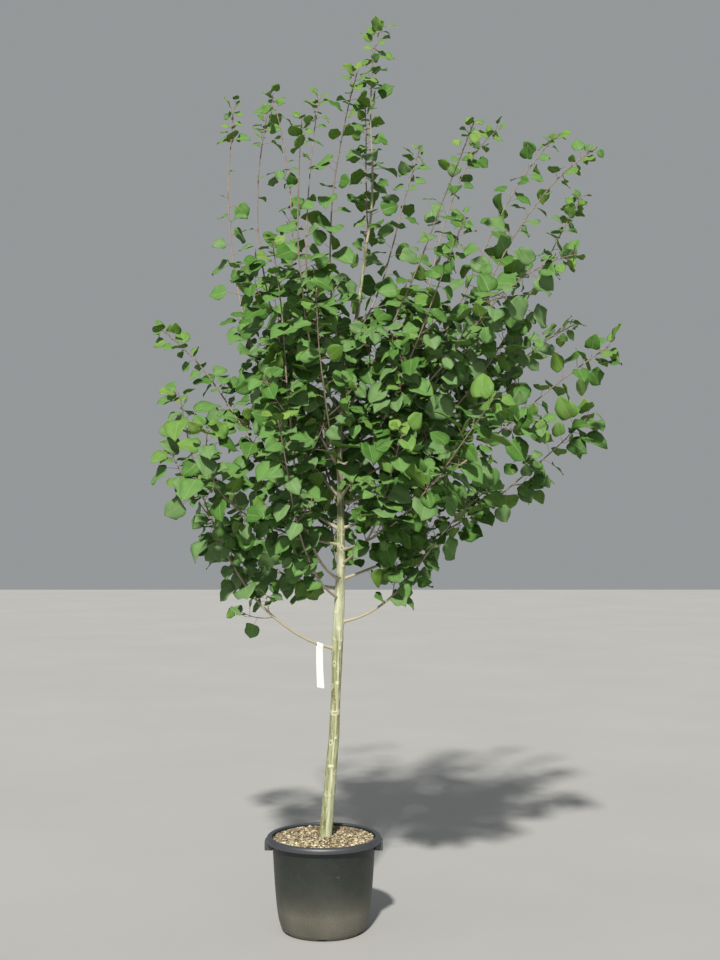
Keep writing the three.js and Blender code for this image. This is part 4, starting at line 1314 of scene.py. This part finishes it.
stalk_radii = STALK_WIDTH / 2 * np.array([(1.25, 1.0)]) * (0.6 + 4 * leaf_size)[:, None]
stalk_ends = leaf_end + leaf_blade * 0.003
points, walls, caps = bent_bars(
    leaf_foot, leaf_bend, stalk_ends, stalk_radii, STALK_RINGS, STALK_SIDES)
STALK_RED = surface_material(
    "stalk_red", light=(0.36, 0.20, 0.13), dark=(0.26, 0.13, 0.09),
    patch=70, grain=500, smooth=0.4, rough=0.6, depth=0.0002)
STALK_PALE = surface_material(
    "stalk_pale", light=(0.34, 0.36, 0.15), dark=(0.29, 0.24, 0.12),
    patch=70, grain=500, smooth=0.4, rough=0.6, depth=0.0002)
is_pale = (growth.random(len(leaves)) < PALE_STALKS).astype(int)
paint = np.concatenate([np.repeat(is_pale, len(part) // len(leaves)) for part in (walls, caps)])
stalks = mesh_piece(
    "leaf_stalks", points, [walls, caps], [STALK_RED, STALK_PALE], paint=paint)
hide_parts(*masses)

blade_random = np.random.default_rng(71)
shapes = np.array([blade_shape(blade_random) for _ in range(BLADE_SHAPES)])
faces_of_blade, paint_of_blade = blade_faces()
shape_of_leaf = growth.integers(0, BLADE_SHAPES, len(leaves))
leaf_across = np.cross(leaf_blade, leaf_face)
axes = np.stack([leaf_across, leaf_blade, leaf_face], axis=1)
sized_shapes = shapes[shape_of_leaf] * leaf_size[:, None, None]
blades = np.einsum("npk,nkj->npj", sized_shapes, axes) + leaf_end[:, None]
# The greens carry a painted sheen in their blue-grey tint.
greens = [
    surface_material(name, light, dark, patch=38, grain=200, smooth=0.48, rough=0.62,
                     depth=0.0001, specular=0.16)
    for name, light, dark in LEAF_GREENS]
# The backs of the leaves are painted in shade, darker and deeper green than the tops.
greens.append(surface_material(
    "leaf_back_painted_shade", light=LEAF_BACK_PAINTED_SHADE, dark=tuple(0.84 * part for part in LEAF_BACK_PAINTED_SHADE),
    patch=40, grain=200, smooth=0.7, rough=0.9, depth=0.0001))
greens.append(surface_material(
    "leaf_rib", light=LEAF_RIB, dark=tuple(0.84 * part for part in LEAF_RIB),
    patch=60, grain=200, smooth=0.45, rough=0.65, depth=0.0001))
back_slot, rib_slot = len(LEAF_GREENS), len(LEAF_GREENS) + 1
mass_middles = {mass: sum(corner.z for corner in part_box(mass)) / 2 for mass in masses}
is_young = leaf_young > 0.45
for name, low, high in STOREYS:
    chosen = (leaf_end[:, 2] >= low) & (leaf_end[:, 2] < high)
    chosen &= is_young if name == "young" else ~is_young
    count = int(chosen.sum())
    first = (np.arange(count) * shapes.shape[1])[:, None, None]
    faces = (first + faces_of_blade).reshape(-1, 4)
    kinds = leaf_kind[chosen][:, None]
    paint = np.where(paint_of_blade == BACK, back_slot, np.where(paint_of_blade == RIB, rib_slot, kinds))
    piece = mesh_piece(
        "leaves_" + name, blades[chosen].reshape(-1, 3), [faces], greens,
        paint=paint.ravel(), flat=np.tile(paint_of_blade == EDGE, count))
    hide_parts(*([mass for mass in masses if low <= mass_middles[mass] < high] or masses))


# The buds: pointed, brown and shiny, one in the angle of each leaf and one at the end of
# each shoot and spur.
BUD_LENGTH = 0.006
BUD_WIDTH = 0.0022
BUD_POINT = 0.0002
BUD_RINGS = 3
BUD_SIDES = 4
LEAF_BUD_SIZE = 0.75
END_BUD_SIZE = 1.1
bud_feet = np.concatenate([leaf_foot, shoot_tips])
leaf_out = unit(leaf_bend - leaf_foot)
shoot_out = unit(shoot_tips - shoot_bends)
bud_out = np.concatenate([unit(leaf_out * 0.5 + UP * 0.8), shoot_out])
bud_size = np.repeat((LEAF_BUD_SIZE, END_BUD_SIZE), (len(leaves), len(side_stems)))[:, None]
bud_middle = bud_feet + bud_out * BUD_LENGTH * 0.5 * bud_size
bud_tip = bud_feet + bud_out * BUD_LENGTH * bud_size
bud_radii = np.array([(BUD_WIDTH / 2, BUD_POINT)]) * bud_size
points, walls, caps = bent_bars(bud_feet, bud_middle, bud_tip, bud_radii, BUD_RINGS, BUD_SIDES)
BUD_BROWN = surface_material(
    "bud_brown", light=(0.24, 0.13, 0.08), dark=(0.15, 0.08, 0.05),
    patch=90, grain=600, smooth=0.3, rough=0.45, depth=0.0002)
buds = mesh_piece("buds", points, [walls, caps], [BUD_BROWN])
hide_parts(*masses)


# The label: a blank strip of white plastic looped over the lowest left limb, its two
# halves hanging together. It is creased where it is pinched and curls a little below.
LABEL_SHARE = 0.06
LABEL_WIDTH = 0.026
LABEL_LENGTH = 0.177
LABEL_LOOP = 0.030
LABEL_PINCH = 0.0009
LABEL_PARTING = 0.004
LABEL_PARTS_FROM = 0.45
LABEL_CUPPING = 0.0022
LABEL_WIDENING = 0.05
LABEL_CORNER_DROP = 0.006
LABEL_THICK = 0.0004
LABEL_LOOP_ROWS = 15
LABEL_SIDE_ROWS = 28
LABEL_COLUMNS = 10


def label_line(limb):
    """The strip's line across the limb: up one side, over and down the other."""
    radius = limb.radius(LABEL_SHARE) * 1.25
    side = []
    for drop in np.linspace(0, 1, LABEL_SIDE_ROWS + 1)[1:]:
        depth = drop * (LABEL_LENGTH - radius)
        pinch = LABEL_PINCH + (radius - LABEL_PINCH) * max(0.0, 1 - depth / LABEL_LOOP) ** 1.5
        side.append((pinch + LABEL_PARTING * max(0.0, drop - LABEL_PARTS_FROM) ** 2, -depth))
    over = arc(0, 0, radius, 0, 180, LABEL_LOOP_ROWS)
    return side[::-1] + over + [(-x, z) for x, z in side]


lowest = limb_named["low_left"]
label_centre, label_along = lowest.at(LABEL_SHARE), lowest.along(LABEL_SHARE)
label_level = unit(np.array((label_along[0], label_along[1], 0.0)))
label_aside = np.cross(UP, label_level)
limb_slope = label_along[2] / np.linalg.norm(label_along[:2])
label_rows = label_line(lowest)
label_points = []
for x, z in label_rows:
    fall = max(0.0, -z) / LABEL_LENGTH
    drift = -0.004 * fall + 0.009 * fall ** 2
    for share in np.linspace(-0.5, 0.5, LABEL_COLUMNS):
        width = share * LABEL_WIDTH * (1 + LABEL_WIDENING * fall)
        cupping = LABEL_CUPPING * fall * (4 * share ** 2) * math.copysign(1, x)
        rise = limb_slope * width * (1 - fall) + LABEL_CORNER_DROP * fall ** 8 * share
        label_points.append(label_centre + label_level * (width - drift)
                            + label_aside * (x + cupping) + UP * (z + rise))
LABEL_WHITE = surface_material(
    "label_white", light=(0.86, 0.86, 0.84), dark=(0.78, 0.78, 0.76),
    patch=60, grain=300, smooth=0.35, rough=0.5, depth=0.0002)
label = mesh_piece(
    "label_strip", np.array(label_points), [grid_faces(len(label_rows), LABEL_COLUMNS)],
    [LABEL_WHITE])
thicken = label.modifiers.new("thickness", "SOLIDIFY")
thicken.thickness = LABEL_THICK
thicken.offset = 0
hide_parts("label")


# The studio: a plain pale floor under an even pale light from all round, and one soft sun
# lamp in front, high and a little to the left, so that the plant is lit as in the picture.
FLOOR_SIZE = 30
FLOOR_DROP = 0.0005
CAMERA_PLACE = (0.140, -4.9, 1.52)
CAMERA_PITCH = 2.52
CAMERA_SENSOR = 36
CAMERA_REACH = 100
FOCAL_LENGTH_PIXELS = 1250
PICTURE_HEIGHT_PIXELS = 960
BACKDROP_COLOUR = (0.92, 0.96, 0.98, 1)
BACKDROP_STRENGTH = 0.33
SUN_COLOUR = (1.0, 0.96, 0.90)
SUN_STRENGTH = 4.8
SUN_SPREAD = 3
SUN_HEADING = (0.14, 1.0, -0.90)

floor_mesh = bpy.data.meshes.new("floor")
floor_corners = [(x * FLOOR_SIZE, y * FLOOR_SIZE, -FLOOR_DROP) for x, y in SQUARE]
floor_mesh.from_pydata(floor_corners, [], [(0, 1, 2, 3)])
floor_mesh.materials.append(surface_material(
    "studio_floor", light=(0.41, 0.41, 0.40), dark=(0.39, 0.39, 0.38),
    patch=0.6, grain=40, smooth=0.7, rough=0.85, depth=0.0002))
floor = bpy.data.objects.new("studio_floor", floor_mesh)
bpy.context.scene.collection.objects.link(floor)
floor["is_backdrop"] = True

world = bpy.data.worlds.new("studio_backdrop")
world.use_nodes = True
backdrop = world.node_tree.nodes["Background"]
backdrop.inputs["Color"].default_value = BACKDROP_COLOUR
backdrop.inputs["Strength"].default_value = BACKDROP_STRENGTH
bpy.context.scene.world = world

sun = bpy.data.objects.new("sun", bpy.data.lights.new("sun", "SUN"))
sun.data.energy = SUN_STRENGTH
sun.data.angle = math.radians(SUN_SPREAD)
sun.data.color = SUN_COLOUR
sun.rotation_euler = Vector(SUN_HEADING).to_track_quat("-Z", "Y").to_euler()
bpy.context.scene.collection.objects.link(sun)

camera = bpy.data.objects.new("camera", bpy.data.cameras.new("camera"))
camera.data.sensor_width = CAMERA_SENSOR
camera.data.lens = CAMERA_SENSOR * FOCAL_LENGTH_PIXELS / PICTURE_HEIGHT_PIXELS
camera.location = CAMERA_PLACE
camera.rotation_euler = (math.radians(90 + CAMERA_PITCH), 0, 0)
camera.data.clip_end = CAMERA_REACH
bpy.context.scene.collection.objects.link(camera)
bpy.context.scene.camera = camera
bpy.context.scene.view_settings.view_transform = "Standard"

low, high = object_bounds()
